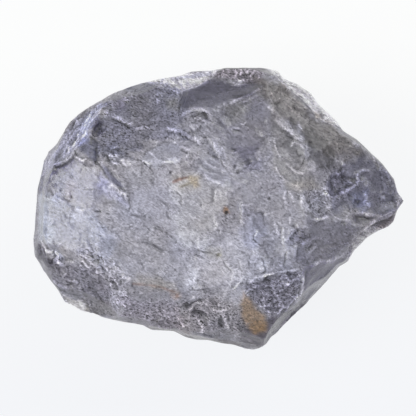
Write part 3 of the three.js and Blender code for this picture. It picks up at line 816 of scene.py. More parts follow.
    Line((833, 176, 849, 144, 841, 95), 0.22, 0.6),
    Line((873, 152, 889, 103), 0.10, -0.5),
    Line((534, 144, 518, 95, 534, 38), 0.07, 0.55),
    Line((558, 144, 582, 95, 606, 46), 0.08, 0.5),
    Line((542, 127, 550, 79, 558, 38), 0.06, -0.4),
    Line((631, 119, 655, 71, 663, 6), 0.07, 0.35),
    Line((509, -67, 534, -42, 558, -42, 574, -67), 0.06, -0.6),
    Line((574, -59, 566, -91, 566, -123), 0.07, 0.5),
    Line((356, -42, 404, -42, 437, -34), 0.06, 0.45),
    Line((445, -107, 461, -172, 485, -220), 0.08, 0.3),
    Line((202, 14, 218, -26, 226, -59), 0.08, -0.5),
    Line((186, 30, 218, 6, 259, -34, 299, -67), 0.07, 0.35),
    Line((275, -59, 291, -107, 323, -164, 364, -204, 420, -237), 0.13, -0.4),
    Line((283, -34, 332, -26, 356, -67, 364, -107), 0.06, -0.45),
    Line((291, -188, 275, -237, 299, -261, 332, -285, 364, -301), 0.05, -0.7),
    Line((307, -172, 291, -220), 0.07, 0.6),
    Line((364, -301, 380, -342, 396, -390), 0.09, -0.35),
    Line((299, -390, 332, -390, 356, -414, 356, -455, 372, -487, 348, -520, 307, -536, 267, -528),
        0.065, -0.8),
    Line((226, -358, 251, -374, 251, -406), 0.05, -0.6),
    Line((235, -406, 243, -455), 0.06, -0.6),
    Line((32, -406, 57, -447, 89, -479, 105, -503), 0.07, -0.4),
    Line((178, -334, 210, -350, 235, -382), 0.06, -0.4),
    Line((550, -334, 526, -382, 518, -431, 518, -471), 0.06, -0.5),
    Line((639, -245, 631, -301, 623, -366, 623, -431), 0.09, -0.45),
    Line((615, -253, 615, -309, 598, -366), 0.07, 0.35),
    Line((647, -228, 679, -245, 712, -220), 0.16, -0.45),
    Line((582, -228, 590, -261), 0.12, -0.5),
    Line((655, -309, 687, -269, 744, -245), 0.10, 0.35),
    Line((687, -334, 720, -309, 752, -277), 0.09, -0.45),
    Line((695, -366, 744, -334, 792, -285), 0.08, 0.35),
    # the edges on the near right
    Line((655, -495, 679, -471, 728, -451, 792, -435, 865, -414, 930, -390, 987, -358, 1035, -342),
        0.10, 0.9, -0.3),
    Line((873, -431, 930, -406, 987, -370), 0.06, 0.5),
    Line((671, -479, 671, -544, 675, -608, 667, -665, 639, -714, 606, -762, 574, -827),
        0.10, 0.9, 0.3),
    Line((631, -665, 598, -722, 558, -786, 534, -835), 0.07, 0.6),
    Line((695, -479, 695, -544, 687, -617), 0.10, -0.4),
    Line((509, -956, 550, -908, 590, -859), 0.09, 0.9),
    Line((550, -948, 598, -892, 647, -827), 0.07, 0.35),
    Line((275, -544, 332, -536, 388, -520, 437, -503), 0.10, 0.4),
    Line((202, -592, 259, -588, 323, -584, 364, -568, 404, -552), 0.13, -0.55),
    Line((404, -544, 461, -540, 534, -532, 606, -511), 0.10, -0.5),
    Line((235, -625, 283, -617, 332, -608, 372, -584), 0.07, 0.5),
    Line((437, -617, 461, -576, 501, -564), 0.09, 0.9),
    Line((526, -608, 574, -576, 623, -544, 663, -511), 0.09, 0.8),
    Line((210, -592, 291, -552, 388, -520, 501, -499, 598, -483, 663, -471), 0.09, 0.6),
    Line((420, -673, 477, -657, 526, -633), 0.07, 0.6),
    Line((356, -730, 420, -714, 477, -738), 0.07, 0.5),
    Line((526, -738, 566, -722, 606, -714, 639, -673), 0.07, 0.8),
    Line((469, -835, 526, -786, 574, -738), 0.06, 0.5),
    Line((388, -786, 412, -835, 404, -875), 0.08, 0.8),
    Line((323, -770, 372, -794, 412, -835), 0.06, 0.5),
    Line((170, -600, 202, -584), 0.10, -0.6),
    Line((105, -633, 146, -608, 178, -576, 186, -536), 0.08, 0.5),
    # the hollows on the near rim
    Line((-267, -803, -243, -770, -210, -742, -170, -728, -137, -730, -113, -742), 0.20, -0.75),
    Line((-235, -811, -194, -777, -154, -756, -113, -752, -81, -766, -57, -794), 0.11, 0.8),
    Line((-226, -706, -186, -685, -137, -689, -89, -714, -65, -746), 0.08, 0.5),
    Line((-218, -839, -178, -827, -137, -835, -105, -859, -89, -900, -97, -940), 0.16, -0.65),
    Line((-210, -859, -162, -875, -137, -908, -121, -948, -129, -989, -154, -1009), 0.11, 1.0),
    Line((8, -859, 16, -908, 24, -964), 0.18, -0.6),
    Line((65, -827, 81, -859, 81, -900), 0.12, -0.5),
    Line((32, -843, 49, -883, 65, -932, 89, -964), 0.09, 0.7),
    Line((-49, -786, -8, -811, 32, -811, 81, -794), 0.10, 0.5),
    Line((-307, -803, -275, -770, -243, -730), 0.08, -0.4),
    Line((-32, -738, -8, -762, 0, -794), 0.08, -0.55),
    Line((-81, -883, -65, -932, -32, -972), 0.09, 0.4),
    Line((121, -916, 162, -932, 202, -956), 0.13, -0.5),
    Line((-534, -883, -485, -908, -420, -940), 0.18, -0.4),
    Line((-323, -867, -291, -908, -259, -940), 0.09, 0.5),
    Line((97, -1021, 162, -1013, 226, -1037, 275, -1069), 0.07, 0.35),
    Line((-566, -956, -429, -972, -307, -1013, -162, -1053), 0.07, -0.5),
    Line((-146, -1053, -24, -1061, 97, -1094, 202, -1126), 0.07, -0.4),
    # the near left
    Line((-1439, -220, -1399, -277, -1350, -334, -1310, -342), 0.07, 0.7),
    Line((-1423, -228, -1375, -293, -1334, -325), 0.07, -0.5),
    Line((-1464, -245, -1423, -309, -1375, -374, -1350, -414), 0.07, 0.7),
    Line((-1399, -325, -1350, -382, -1310, -431), 0.09, -0.4),
    Line((-1342, -350, -1318, -390, -1294, -431, -1253, -447), 0.08, 0.6),
    Line((-1302, -342, -1278, -374, -1261, -423), 0.10, 0.4),
    Line((-1100, -447, -1075, -479, -1051, -495), 0.09, 0.9),
    Line((-1075, -406, -1043, -447, -1011, -471), 0.08, 0.8),
    Line((-1092, -423, -1059, -455, -1027, -487), 0.05, -0.4),
    Line((-1019, -334, -1003, -366, -987, -398), 0.10, -0.5),
    Line((-954, -358, -938, -406), 0.08, -0.5),
    Line((-1116, -325, -1075, -366, -1027, -398), 0.07, 0.4),
    Line((-898, -463, -857, -503, -825, -552, -784, -608), 0.07, 0.45),
    Line((-857, -560, -817, -608, -792, -665), 0.10, -0.4),
    Line((-776, -536, -728, -544, -679, -552), 0.08, 0.8),
    Line((-978, -511, -954, -503), 0.10, 0.7),
    Line((-1358, -552, -1310, -600, -1253, -633, -1197, -641), 0.07, 0.5),
    Line((-1342, -600, -1278, -657, -1197, -681, -1116, -706), 0.09, -0.45),
    Line((-1116, -625, -1092, -649), 0.09, 0.6),
    Line((-1164, -568, -1132, -600), 0.09, 0.5),
    Line((-1261, -689, -1221, -714, -1173, -730), 0.10, 0.5),
    Line((-1124, -746, -1092, -786, -1075, -827), 0.14, 0.6),
    Line((-1100, -730, -1067, -762, -1043, -803), 0.07, -0.6),
    Line((-1084, -722, -1051, -754, -1027, -794), 0.06, 0.6),
    Line((-970, -673, -938, -714, -922, -746), 0.07, -0.4),
    Line((-946, -738, -930, -778, -914, -803), 0.10, 0.5),
    Line((-631, -665, -598, -665), 0.08, 0.8),
)

STAINS: tuple[Stain, ...] = (
    Stain((202, -657, 235, -706, 291, -770, 356, -835, 388, -900, 396, -964, 356, -997, 283, -997,
        235, -948, 194, -867, 178, -786, 186, -722), (0.37, 0.235, 0.115), 0.8, 0.5),
    Stain((235, -883, 356, -883, 356, -972, 259, -964), (0.36, 0.205, 0.085), 0.5, 0.6),
    Stain((44, 14, 70, 17, 84, -7, 87, -34, 57, -42, 39, -18), (0.40, 0.19, 0.05), 0.75, 0.2),
    Stain((49, -18, 74, -13, 82, -34, 65, -51, 47, -39), (0.02, 0.012, 0.01), 1.0, 0.04),
    Stain((-340, -665, -315, -673, -315, -697, -340, -697), (0.18, 0.07, 0.05), 0.9, 0.12),
    Stain((-380, -641, -307, -657, -291, -697, -340, -722, -380, -681),
        (0.42, 0.33, 0.28), 0.5, 0.3),
    Stain((-679, -584, -550, -595, -445, -610, -340, -649, -348, -660, -453, -626, -550, -608,
        -679, -596), (0.16, 0.07, 0.06), 0.7, 0.1),
    Stain((-631, -511, -340, -576, -323, -641, -550, -625, -663, -576),
        (0.42, 0.38, 0.30), 0.35, 0.6),
    Stain((-356, 249, -226, 281, -146, 257, -137, 160, -226, 144, -323, 152),
        (0.42, 0.38, 0.28), 0.35, 0.8),
    Stain((-235, 265, -162, 257, -146, 176, -186, 168, -210, 208, -251, 232),
        (0.40, 0.29, 0.12), 0.55, 0.4),
    Stain((-368, 216, -307, 245, -243, 257, -239, 241, -299, 224, -356, 196),
        (0.22, 0.10, 0.06), 0.75, 0.12),
    Stain((-307, 176, -259, 200, -210, 212, -210, 196, -259, 178, -299, 160),
        (0.22, 0.18, 0.09), 0.6, 0.12),
    Stain((-16, -358, 16, -350, 24, -374, -8, -382), (0.22, 0.21, 0.12), 0.8, 0.12),
    Stain((-105, -301, 32, -317, 32, -398, -81, -382), (0.44, 0.42, 0.34), 0.35, 0.5),
    Stain((-412, 896, -315, 887, -315, 790, -396, 807), (0.34, 0.33, 0.27), 0.35, 0.7),
    Stain((768, 782, 825, 766, 841, 718, 784, 726), (0.40, 0.32, 0.22), 0.6, 0.3),
    Stain((534, 200, 760, 232, 776, 152, 550, 135), (0.40, 0.36, 0.30), 0.35, 0.6),
    Stain((-1197, 249, -1132, 200, -1132, 55, -1229, 71), (0.40, 0.33, 0.34), 0.25, 0.6),
)


# -------------------- the skin of the stone


class Facing(Enum):
    """Which faces something is on: how far up they look where it begins and where it is whole.

    A face looks up by 1 when it is level, by 0 when it is upright and by -1 when it looks down.
    """

    ZONES = (-0.55, 0.15)
    LEDGES = (-0.75, -0.15)
    MARKS = (-0.15, 0.15)
    SCARS = (0.0, 0.3)
    UPPER = (-0.35, 0.05)
    # the shoulder and the rim bound the painted shade on the steep rim
    SHOULDER = (-0.08, 0.42)
    RIM_SHADE = (-0.6, -0.1)


@dataclass
class Skin:
    """The stone's surface while it is worked, in millimetres.

    Attributes:
        mesh: The mesh that is worked.
        rest: Where each vertex was at first.
        normal: Which way the surface faced at first.
        edges: The two vertices of each edge.
        rise: How far each vertex moves outwards.
        colour: The stone's linear colour at each vertex.
        grit: How strong the finest roughness is at each vertex.
        frost_and_glow: 1 on the frosted ledges, which are pale of their own and carry painted light
            besides.
        streaks: How much lighter each vertex is from painted highlight on the crests and the
            hatching's ridges, less the painted shade in pits.
    """

    mesh: bpy.types.Mesh
    rest: np.ndarray = field(init=False)
    normal: np.ndarray = field(init=False)
    edges: np.ndarray = field(init=False)
    rise: np.ndarray = field(init=False)
    colour: np.ndarray = field(init=False)
    grit: np.ndarray = field(init=False)
    frost_and_glow: np.ndarray = field(init=False)
    streaks: np.ndarray = field(init=False)

    def __post_init__(self) -> None:
        """Reads the mesh."""
        count = len(self.mesh.vertices)
        flat = np.empty(count * 3, np.float32)
        self.mesh.vertices.foreach_get("co", flat)
        self.rest = flat.reshape(-1, 3) / MM
        flat = np.empty(count * 3, np.float32)
        self.mesh.vertex_normals.foreach_get("vector", flat)
        self.normal = flat.reshape(-1, 3)
        pairs = np.empty(len(self.mesh.edges) * 2, np.int32)
        self.mesh.edges.foreach_get("vertices", pairs)
        self.edges = pairs.reshape(-1, 2)
        self.rise = np.zeros(count, np.float32)
        self.colour = np.ones((count, 3), np.float32)
        self.grit = np.ones(count, np.float32)
        self.frost_and_glow = np.zeros(count, np.float32)
        self.streaks = np.zeros(count, np.float32)

    @property
    def plan(self) -> np.ndarray:
        """Each vertex as seen from above."""
        return self.rest[:, :2]

    def facing(self, faces: Facing, wander: np.ndarray | float = 0.0) -> np.ndarray:
        """Tells the faces that something is on from the others.

        Args:
            faces: The faces.
            wander: Moves the border between them, as a share of its width.

        Returns:
            Numbers from 0 to 1.
        """
        low, high = faces.value
        return soft_step((self.normal[:, 2] - low) / (high - low) + wander)

    def smoothed(self, values: np.ndarray, rounds: int) -> np.ndarray:
        """Averages values with those of their neighbours.

        Args:
            values: One row for each vertex.
            rounds: How often to average.

        Returns:
            The softened values.
        """
        one, other = self.edges.T
        size = len(values)
        count = np.bincount(one, minlength=size) + np.bincount(other, minlength=size)
        for _ in range(rounds):
            total = np.stack([
                np.bincount(one, column[other], size) + np.bincount(other, column[one], size)
                for column in values.T
            ], axis=1)
            values = 0.5 * values + 0.5 * total / count[:, None]
        return values

    def along(self, path: Plan, pad: float, sway: float = 0.0,
              pattern: Lattice | None = None) -> tuple[np.ndarray, ...]:
        """Finds the vertices near a path.

        Args:
            path: Points along it, in plan.
            pad: How far around it vertices are looked for, in mm.
            sway: How far the path wanders, in mm.
            pattern: What it wanders by.

        Returns:
            The vertices' numbers, their distances from the path, the side they are on (1 is the
            left) and how far along the path they are.
        """
        points = np.array(places(path))
        low, high = points.min(axis=0) - pad, points.max(axis=0) + pad
        found = np.flatnonzero(((self.plan > low) & (self.plan < high)).all(axis=1))
        swayed = self.plan[found]
        if pattern is not None:
            swayed = swayed + sway * np.stack([
                pattern.fractal(self.rest[found], size=0.6, octaves=2, shift=shift)
                for shift in (0.0, 50.0)
            ], axis=1)
        runs = np.diff(points, axis=0)
        steps = np.hypot(*runs.T)
        reach = np.concatenate([[0], np.cumsum(steps)])
        far = np.full(len(found), np.inf)
        side = np.zeros(len(found))
        at = np.zeros(len(found))
        for start, run, before, step in zip(points[:-1], runs, reach, steps):
            from_start = swayed - start
            share = np.clip(from_start @ run / (step * step), 0, 1)
            off = from_start - share[:, None] * run
            gap = np.hypot(*off.T)
            nearer = gap < far
            far = np.where(nearer, gap, far)
            side = np.where(nearer, np.sign(run[0] * off[:, 1] - run[1] * off[:, 0]), side)
            at = np.where(nearer, before + share * step, at)
        return found, far, side, at / reach[-1]

    def worked(self) -> np.ndarray:
        """Where each vertex ends up, in mm, never below the table."""
        moved = self.rest + self.normal * self.rise[:, None]
        moved[:, 2] = np.maximum(moved[:, 2], LOWEST)
        return moved

    def proud(self, rounds: int) -> np.ndarray:
        """How far each vertex stands out from the surface around it.

        Args:
            rounds: How wide a stretch of surface is looked at.

        Returns:
            Heights in mm, negative in hollows.
        """
        moved = self.worked()
        away = moved - self.smoothed(moved, rounds)
        return (away * self.normal).sum(axis=1)

    def write(self) -> None:
        """Puts the worked shape and colour into the mesh."""
        self.mesh.vertices.foreach_set("co", (self.worked() * MM).astype(np.float32).ravel())
        layer = self.mesh.color_attributes.new("stone", "FLOAT_COLOR", "POINT")
        rgba = np.ones((len(self.colour), 4), np.float32)
        rgba[:, :3] = np.clip(self.colour, 0.0, PALEST)
        rgba[:, 3] = np.clip(self.grit, 0.0, 1.0)
        layer.data.foreach_set("color", rgba.ravel())
        self.mesh.update()


@dataclass(frozen=True)
class Patches:
    """Where a pattern is strong and where it is weak.

    Attributes:
        size: Width of the patches in mm.
        shift: Picks the pattern.
        low: Strength where it is weakest.
        gain: How much stronger it is where it is strongest.
        contrast: How sharply the patches differ.
    """

    size: float = 1.0
    shift: float = 0.0
    low: float = 0.0
    gain: float = 1.0
    contrast: float = 0.9

    def strengths(self, pattern: Lattice, points: np.ndarray) -> np.ndarray:
        """How strong the pattern is at places in mm."""
        hills = pattern.fractal(points, size=self.size, octaves=2, shift=self.shift)
        return self.low + self.gain * soft_step(0.5 + self.contrast * hills)


@dataclass(frozen=True)
class Shells:
    """One size of shell-shaped break, drawn out along the way the stone tore.

    Attributes:
        part: The column of the grain that it follows.
        deep: Its depth in mm.
        size: Length, width and height of one shell in mm.
        reach: How far the pattern is bent, in mm.
        bends: Width of the bends in mm.
        tilt: How much each shell leans, as a share of its depth.
        bowl: How hollow each shell is, as a share of its depth.
        shift: Picks the pattern.
        patches: Where the shells are deep and where shallow.
        bright: How much lighter the crests between shells are, as painted highlight, where the
            grain asks for it.
        thin: Width of those crests as a share of a shell's size.
        dim: How much darker the rest is, as painted shade beside those highlights.
    """

    part: Part
    deep: float
    size: tuple[float, float, float]
    reach: float
    bends: float
    tilt: float
    bowl: float = 1.0
    shift: float = 0.0
    patches: Patches = Patches(low=1.0, gain=0.0)
    bright: float = 0.0
    thin: float = 1.0
    dim: float = 0.0


@dataclass(frozen=True)
class Terraces:
    """Steps that rise slowly and drop at once, as where shells of stone broke off.

    Attributes:
        part: The column of the grain that they follow.
        size: Width of the patches that the steps run around, in mm.
        levels: How many steps there are from a patch's middle to its edge.
        high: Height of a step in mm.
        shift: Picks the pattern.
        patches: Where the steps are high and where low.
        slow: Share of a step's width on which it rises.
    """

    part: Part
    size: float
    levels: float
    high: float
    shift: float
    patches: Patches
    slow: float = 0.86


@dataclass(frozen=True)
class ReliefShading:
    """Painted light and shade: how much lighter the places that stand out are, and how much darker
    hollow ones.

    Attributes:
        rounds: How wide a stretch of surface a place is compared with.
        high: Height in mm that counts as one.
        gain: How much lighter the stone is for each of those heights.
        most: How many of them count.
    """

    rounds: int
    high: float
    gain: float
    most: float = 1.5

    def lift(self, skin: Skin) -> np.ndarray:
        """How much lighter or darker each vertex is painted, as a share of the stone's colour."""
        return self.gain * np.clip(skin.proud(self.rounds) / self.high, -self.most, self.most)


@dataclass
class Carver:
    """Works the small breaks into a skin.

    Attributes:
        skin: The skin that is worked.
        chips: The broad shells.
        flakes: The middle-sized shells.
        crumbs: The smallest shells.
        steps: The steps among the flakes.
        small_steps: The steps among the crumbs.
        hatching: Depth of the hatching in mm.
        hatch_size: Length, width and height of one ridge of the hatching in mm.
        hatch_highlight: How much lighter its ridges are, as painted highlight.
        upright: Share of the relief that is left on upright faces.
        level: How far up or down a face looks where that share begins to grow and where the
            relief is whole.
        flat: How high up the foot of the stone stays flat and where it is wholly free, in mm.
        fine: How the smallest relief shows in the colour, as painted highlight and shade.
        broad: How the broad relief shows in the colour, as painted highlight and shade.
        lattice: Where one half of the patterns come from.
        other: Where the other half come from.
    """

    skin: Skin
    chips: Shells = Shells(
        Part.CHIPS, 0.29, (3.1, 2.0, 2.3), reach=0.9, bends=3.2, tilt=0.28, bowl=0.9)
    flakes: Shells = Shells(
        Part.FLAKES, 0.095, (1.7, 0.85, 1.05), reach=0.55, bends=1.5, tilt=0.35, shift=9.0,
        patches=Patches(2.4, 5.0, low=0.45, gain=0.75), bright=1.3, thin=0.09, dim=0.3)
    crumbs: Shells = Shells(
        Part.CRUMBS, 0.024, (0.85, 0.36, 0.46), reach=0.22, bends=0.6, tilt=0.3, shift=3.0,
        patches=Patches(1.7, 8.0, low=0.4, gain=0.9), bright=0.5, thin=0.13, dim=0.1)
    steps: Terraces = Terraces(
        Part.FLAKES, size=1.9, levels=5.0, high=0.065, shift=0.0,
        patches=Patches(1.9, 7.0, contrast=1.6))
    small_steps: Terraces = Terraces(
        Part.CRUMBS, size=0.9, levels=3.0, high=0.033, shift=40.0,
        patches=Patches(1.9, 47.0, contrast=1.6))
    hatching: float = 0.05
    hatch_size: tuple[float, float, float] = (2.2, 0.42, 2.0)
    hatch_highlight: float = 0.16
    upright: float = 0.2
    level: Span = (0.12, 0.52)
    flat: Span = (0.05, 0.25)
    fine: ReliefShading = ReliefShading(rounds=4, high=0.035, gain=0.33)
    broad: ReliefShading = ReliefShading(rounds=26, high=0.14, gain=0.12)
    lattice: Lattice = field(default_factory=lambda: Lattice(11))
    other: Lattice = field(default_factory=lambda: Lattice(29))

    def carve(self) -> None:
        """Works everything in and colours the stone."""
        skin = self.skin
        grain = self.grain()
        skin.grit = grain[:, Part.CRUMBS] / 2
        low, high = self.flat
        foot = soft_step((high - skin.rest[:, 2]) / (high - low)) * (skin.normal[:, 2] < -0.9)
        self.breaks(grain, 1 - foot)
        for scoop in SCOOPS:
            self.scoop(scoop)
        line_light = np.zeros(len(skin.rest))
        for line in LINES:
            line_light += self.line(line)
        self.dress(line_light)

    def grain(self) -> np.ndarray:
        """Lays out the zones: their grain, their colour, which carries painted light and shade as
        well as the stone's own tone, and the frosted ledges with their painted glow.

        Returns:
            One row for each vertex, with the columns that Part names.
        """
        skin = self.skin
        grain = np.tile(np.array([*Grain().strengths, 0.0]), (len(skin.rest), 1))
        wander = self.other.fractal(skin.rest, size=0.9, octaves=3)
        for zone in ZONES:
            ledge = zone.kind is Break.LEDGE
            within = fade(inside(zone.outline, skin.plan) + zone.ragged * wander, zone.soft)
            faces = Facing.LEDGES if ledge else Facing.ZONES
            share = (within * skin.facing(faces, 0.4 * wander))[:, None]
            # the ledges glow with painted light on top of their frosted paleness
            if ledge:
                skin.frost_and_glow = np.maximum(skin.frost_and_glow, share[:, 0])
            if zone.kind is not None:
                kind = zone.kind.value
                strengths = grain[:, : Part.TURN]
                strengths += share * (np.array(kind.strengths) - strengths)
                if kind.hatch:
                    grain[share[:, 0] > 0.02, Part.TURN] = kind.hatch_turn
            if zone.tint is not None:
                skin.colour *= 1 + share * (np.array(zone.tint) - 1)
        return grain

    def warp(self, reach: float, size: float) -> np.ndarray:
        """Bends space so that patterns lose their regularity.

        Args:
            reach: How far points are moved, in mm.
            size: Width of the bends, in mm.

        Returns:
            The moved points in mm.
        """
        push = [
            self.lattice.fractal(self.skin.rest, size=size, octaves=3, shift=shift)
            for shift in (0.0, 31.7, 63.1)
        ]
        return self.skin.rest + reach * np.stack(push, axis=1)

    def flow(self, points: np.ndarray) -> np.ndarray:
        """Turns plan places so that x runs along the way the stone tore.

        Args:
            points: Places in mm, one per row.

        Returns:
            Turned places in mm.
        """
        angle = math.radians(-TORN)
        turned = points.copy()
        turned[:, 0] = math.cos(angle) * points[:, 0] + math.sin(angle) * points[:, 1]
        turned[:, 1] = math.cos(angle) * points[:, 1] - math.sin(angle) * points[:, 0]
        return turned

    def shells(self, kind: Shells, pattern: Lattice, grain: np.ndarray,
               free: np.ndarray) -> None:
        """Adds one size of shells.

        Args:
            kind: The shells.
            pattern: What they are made from.
            grain: One row for each vertex, with the columns that Part names.
            free: Share of the relief that each vertex takes.
        """
        skin = self.skin
        bent = self.flow(self.warp(kind.reach, kind.bends))
        near, next_near, tilt = pattern.cells(bent, size=kind.size, shift=kind.shift)
        bowl = np.minimum(near, 1.1) ** 2 - 0.3
        high = kind.bowl * bowl + kind.tilt * tilt
        strengths = kind.patches.strengths(pattern, skin.rest)
        skin.rise += free * grain[:, kind.part] * kind.deep * strengths * high
        crest = np.exp(-(((next_near - near) / kind.thin) ** 2))
        # painted highlight along the crests between shells, and painted shade on the rest
        skin.streaks += grain[:, Part.VEINS] * (kind.bright * crest - kind.dim)

    def breaks(self, grain: np.ndarray, free: np.ndarray) -> None:
        """Adds the patterned relief.

        Args:
            grain: One row for each vertex, with the columns that Part names.
            free: 0 where the stone rests on the table and stays flat.
        """
        skin = self.skin
        low, high = self.level
        level = soft_step((np.abs(skin.normal[:, 2]) - low) / (high - low))
        free = free * (self.upright + (1 - self.upright) * level)
        self.shells(self.chips, self.lattice, grain, free)
        self.shells(self.flakes, self.other, grain, free)
        self.shells(self.crumbs, self.lattice, grain, free)
        for steps in (self.steps, self.small_steps):
            skin.rise += free * grain[:, steps.part] * self.terraces(steps)
        comb = self.comb(grain[:, Part.HATCH], np.radians(grain[:, Part.TURN]))
        skin.rise += free * self.hatching * comb
        # painted highlight on the hatching's ridges
        skin.streaks += self.hatch_highlight * comb

    def comb(self, strength: np.ndarray, angle: np.ndarray) -> np.ndarray:
        """The ridges of the hatching.

        Args:
            strength: How strong the hatching is at each vertex.
            angle: Its heading in plan, in radians.

        Returns:
            Heights as shares of the hatching's depth.
        """
        bent = self.warp(self.crumbs.reach, self.crumbs.bends)
        across = -np.sin(angle) * bent[:, 0] + np.cos(angle) * bent[:, 1]
        along = np.cos(angle) * bent[:, 0] + np.sin(angle) * bent[:, 1]
        turned = np.stack([along, across, self.skin.rest[:, 2]], axis=1)
        folds = self.other.fractal(turned, size=self.hatch_size, octaves=3)
        return strength * (0.5 - 2.2 * np.abs(folds) ** 0.7)

    def terraces(self, steps: Terraces) -> np.ndarray:
        """The relief of one size of steps.

        Args:
            steps: The steps.

        Returns:
            Heights in mm.
        """
        size = steps.size
        bent = self.flow(self.warp(0.5 * size, 1.1 * size))
        drawn = (1.7 * size, 0.75 * size, size)
        hill = steps.levels * self.other.fractal(bent, size=drawn, octaves=2, shift=steps.shift)
        part = hill - np.floor(hill)
        saw = np.where(part < steps.slow, part / steps.slow, (1 - part) / (1 - steps.slow)) - 0.5
        return steps.high * saw * steps.patches.strengths(self.lattice, self.skin.rest)

    def scoop(self, scoop: Scoop) -> None:
        """Hollows out one scar.

        Args:
            scoop: The scar.
        """
        skin = self.skin
        angle = math.radians(scoop.turn)
        away = skin.plan - scoop.centre
        along = (away @ (math.cos(angle), math.sin(angle))) / scoop.long
        across = (away @ (-math.sin(angle), math.cos(angle))) / scoop.short
        wander = scoop.RAGGED * self.other.fractal(skin.rest, size=1.1, octaves=3, shift=41.0)
        far = np.hypot(along, across) + wander
        share = soft_step((scoop.REACH - far) / scoop.SOFT) * skin.facing(Facing.SCARS)
        struck = np.hypot(along + 1.0, across)
        ripple = np.cos(struck * math.pi * scoop.ripples) * scoop.RIPPLE
        skin.rise -= scoop.deep * share * (1 - np.minimum(far, 1) ** 2 + ripple)
        # painted shade in the hollow
        skin.streaks -= scoop.dark * share

    def line(self, line: Line) -> np.ndarray:
        """Raises one ridge or cuts one crack.

        Args:
            line: The ridge or crack.

        Returns:
            How much lighter each vertex gets from painted highlight, or darker from painted shade.
        """
        skin = self.skin
        pad = line.foot * line.long + line.MARGIN
        found, far, side, at = skin.along(line.path, pad, line.SWAY, self.other)
        taper = soft_step(np.minimum(at, 1 - at) / line.ENDS + line.BLUNT)
        hills = self.lattice.fractal(skin.rest[found], size=0.8, octaves=1, shift=20.0)
        uneven = 0.75 + 0.5 * hills
        width = line.foot * np.where(side * line.lean > 0, line.long, 1.0)
        crest = np.maximum(0, 1 - far / width) ** line.SHARP * taper * uneven
        crest *= skin.facing(Facing.SCARS)[found]
        skin.rise[found] += line.rise * crest
        # painted shadow: a dark foot runs along the steeper side of the crest's painted highlight
        sided = far * np.where(side * line.lean < 0, -1, 1)
        bright = soft_step(1.25 - far / (line.CREST * line.wide))
        off = np.abs(sided + line.SHADE_AT * line.wide)
        foot = np.maximum(0, 1 - off / (line.SHADE_WIDE * line.wide))
        shade = line.SHADE * abs(line.line_light) * foot
        line_light = np.zeros(len(skin.rest))
        line_light[found] = (line.glow * bright - shade) * taper * uneven
        return line_light * skin.facing(Facing.SCARS)

    def underside(self) -> np.ndarray:
        """How much lighter the lower breaks are, in patches crossed by pale healed cracks.

        Returns:
            Shares of the stone's colour, one row for each vertex.
        """
        rest = self.skin.rest
        bent = self.flow(self.warp(self.chips.reach, self.chips.bends))
        _, _, tilt = self.lattice.cells(bent, size=(3.4, 2.4, 2.0))
        hills = self.other.fractal(rest, size=1.6, octaves=3)
        patches = 0.22 * np.clip(tilt, -1.5, 1.5) + 0.2 * hills
        seams = self.lattice.fractal(self.warp(0.4, 1.2), size=2.6, octaves=2, shift=51.0)
        lift = 0.30 + patches + 0.5 * np.exp(-((seams / 0.07) ** 2))
        return lift[:, None] * np.array([1.0, 1.0, 1.04])

    def dress(self, line_light: np.ndarray) -> None:
        """Colours the stone: its own tone and stains, with painted light and shade that follow its
        relief, and a painted dark rim.

        Args:
            line_light: How much lighter or darker each vertex is from the painted highlights and
                shade of ridges and cracks.
        """
        skin = self.skin
        # painted light and shade: places that stand out are lightened and hollows darkened
        relief_shading = 1 + self.fine.lift(skin) + self.broad.lift(skin)
        clouds = self.lattice.fractal(skin.rest, size=4.5, octaves=4, shift=70.0)
        mottle = self.other.fractal(skin.rest, size=0.7, octaves=4, shift=33.0)
        mottle *= 0.06 + 0.09 * np.clip(skin.grit / 0.5, 0, 1.5)
        lift = relief_shading + 0.05 * clouds + mottle
        warm = 0.035 * self.other.fractal(skin.rest, size=3.1, octaves=3, shift=90.0)
        tint = np.stack([1 + warm, 1 + 0.4 * warm, 1 - warm], axis=1)
        stone = np.array(STONE) * skin.colour * tint * np.clip(lift, 0.3, 2.0)[:, None]
        # painted highlights and shade of the ridges, cracks, crests, hatching and pits
        stone *= (1 + np.clip(line_light + skin.streaks, -0.85, 3.0))[:, None]
        border = 0.5 * self.other.fractal(skin.rest, size=1.3, octaves=3, shift=53.0)
        stone *= 1 + (1 - skin.facing(Facing.UPPER, border))[:, None] * self.underside()
        # painted shade on the steep rim, left off the frosted ledges
        steep = (1 - skin.facing(Facing.SHOULDER)) * skin.facing(Facing.RIM_SHADE)
        stone *= 1 + (steep * (1 - skin.frost_and_glow))[:, None] * (np.array(RIM_SHADE) - 1)
        wander = 0.25 * self.lattice.fractal(skin.rest, size=0.5, octaves=3)
        for stain in STAINS:
            depth = inside(stain.outline, skin.plan) + wander * stain.soft
            share = stain.cover * fade(depth, stain.soft) * skin.facing(Facing.MARKS)
            marked = np.array(stain.colour) * np.clip(lift, 0.5, 1.5)[:, None]
            stone += share[:, None] * (marked - stone)
        skin.colour = stone


# -------------------- the piece


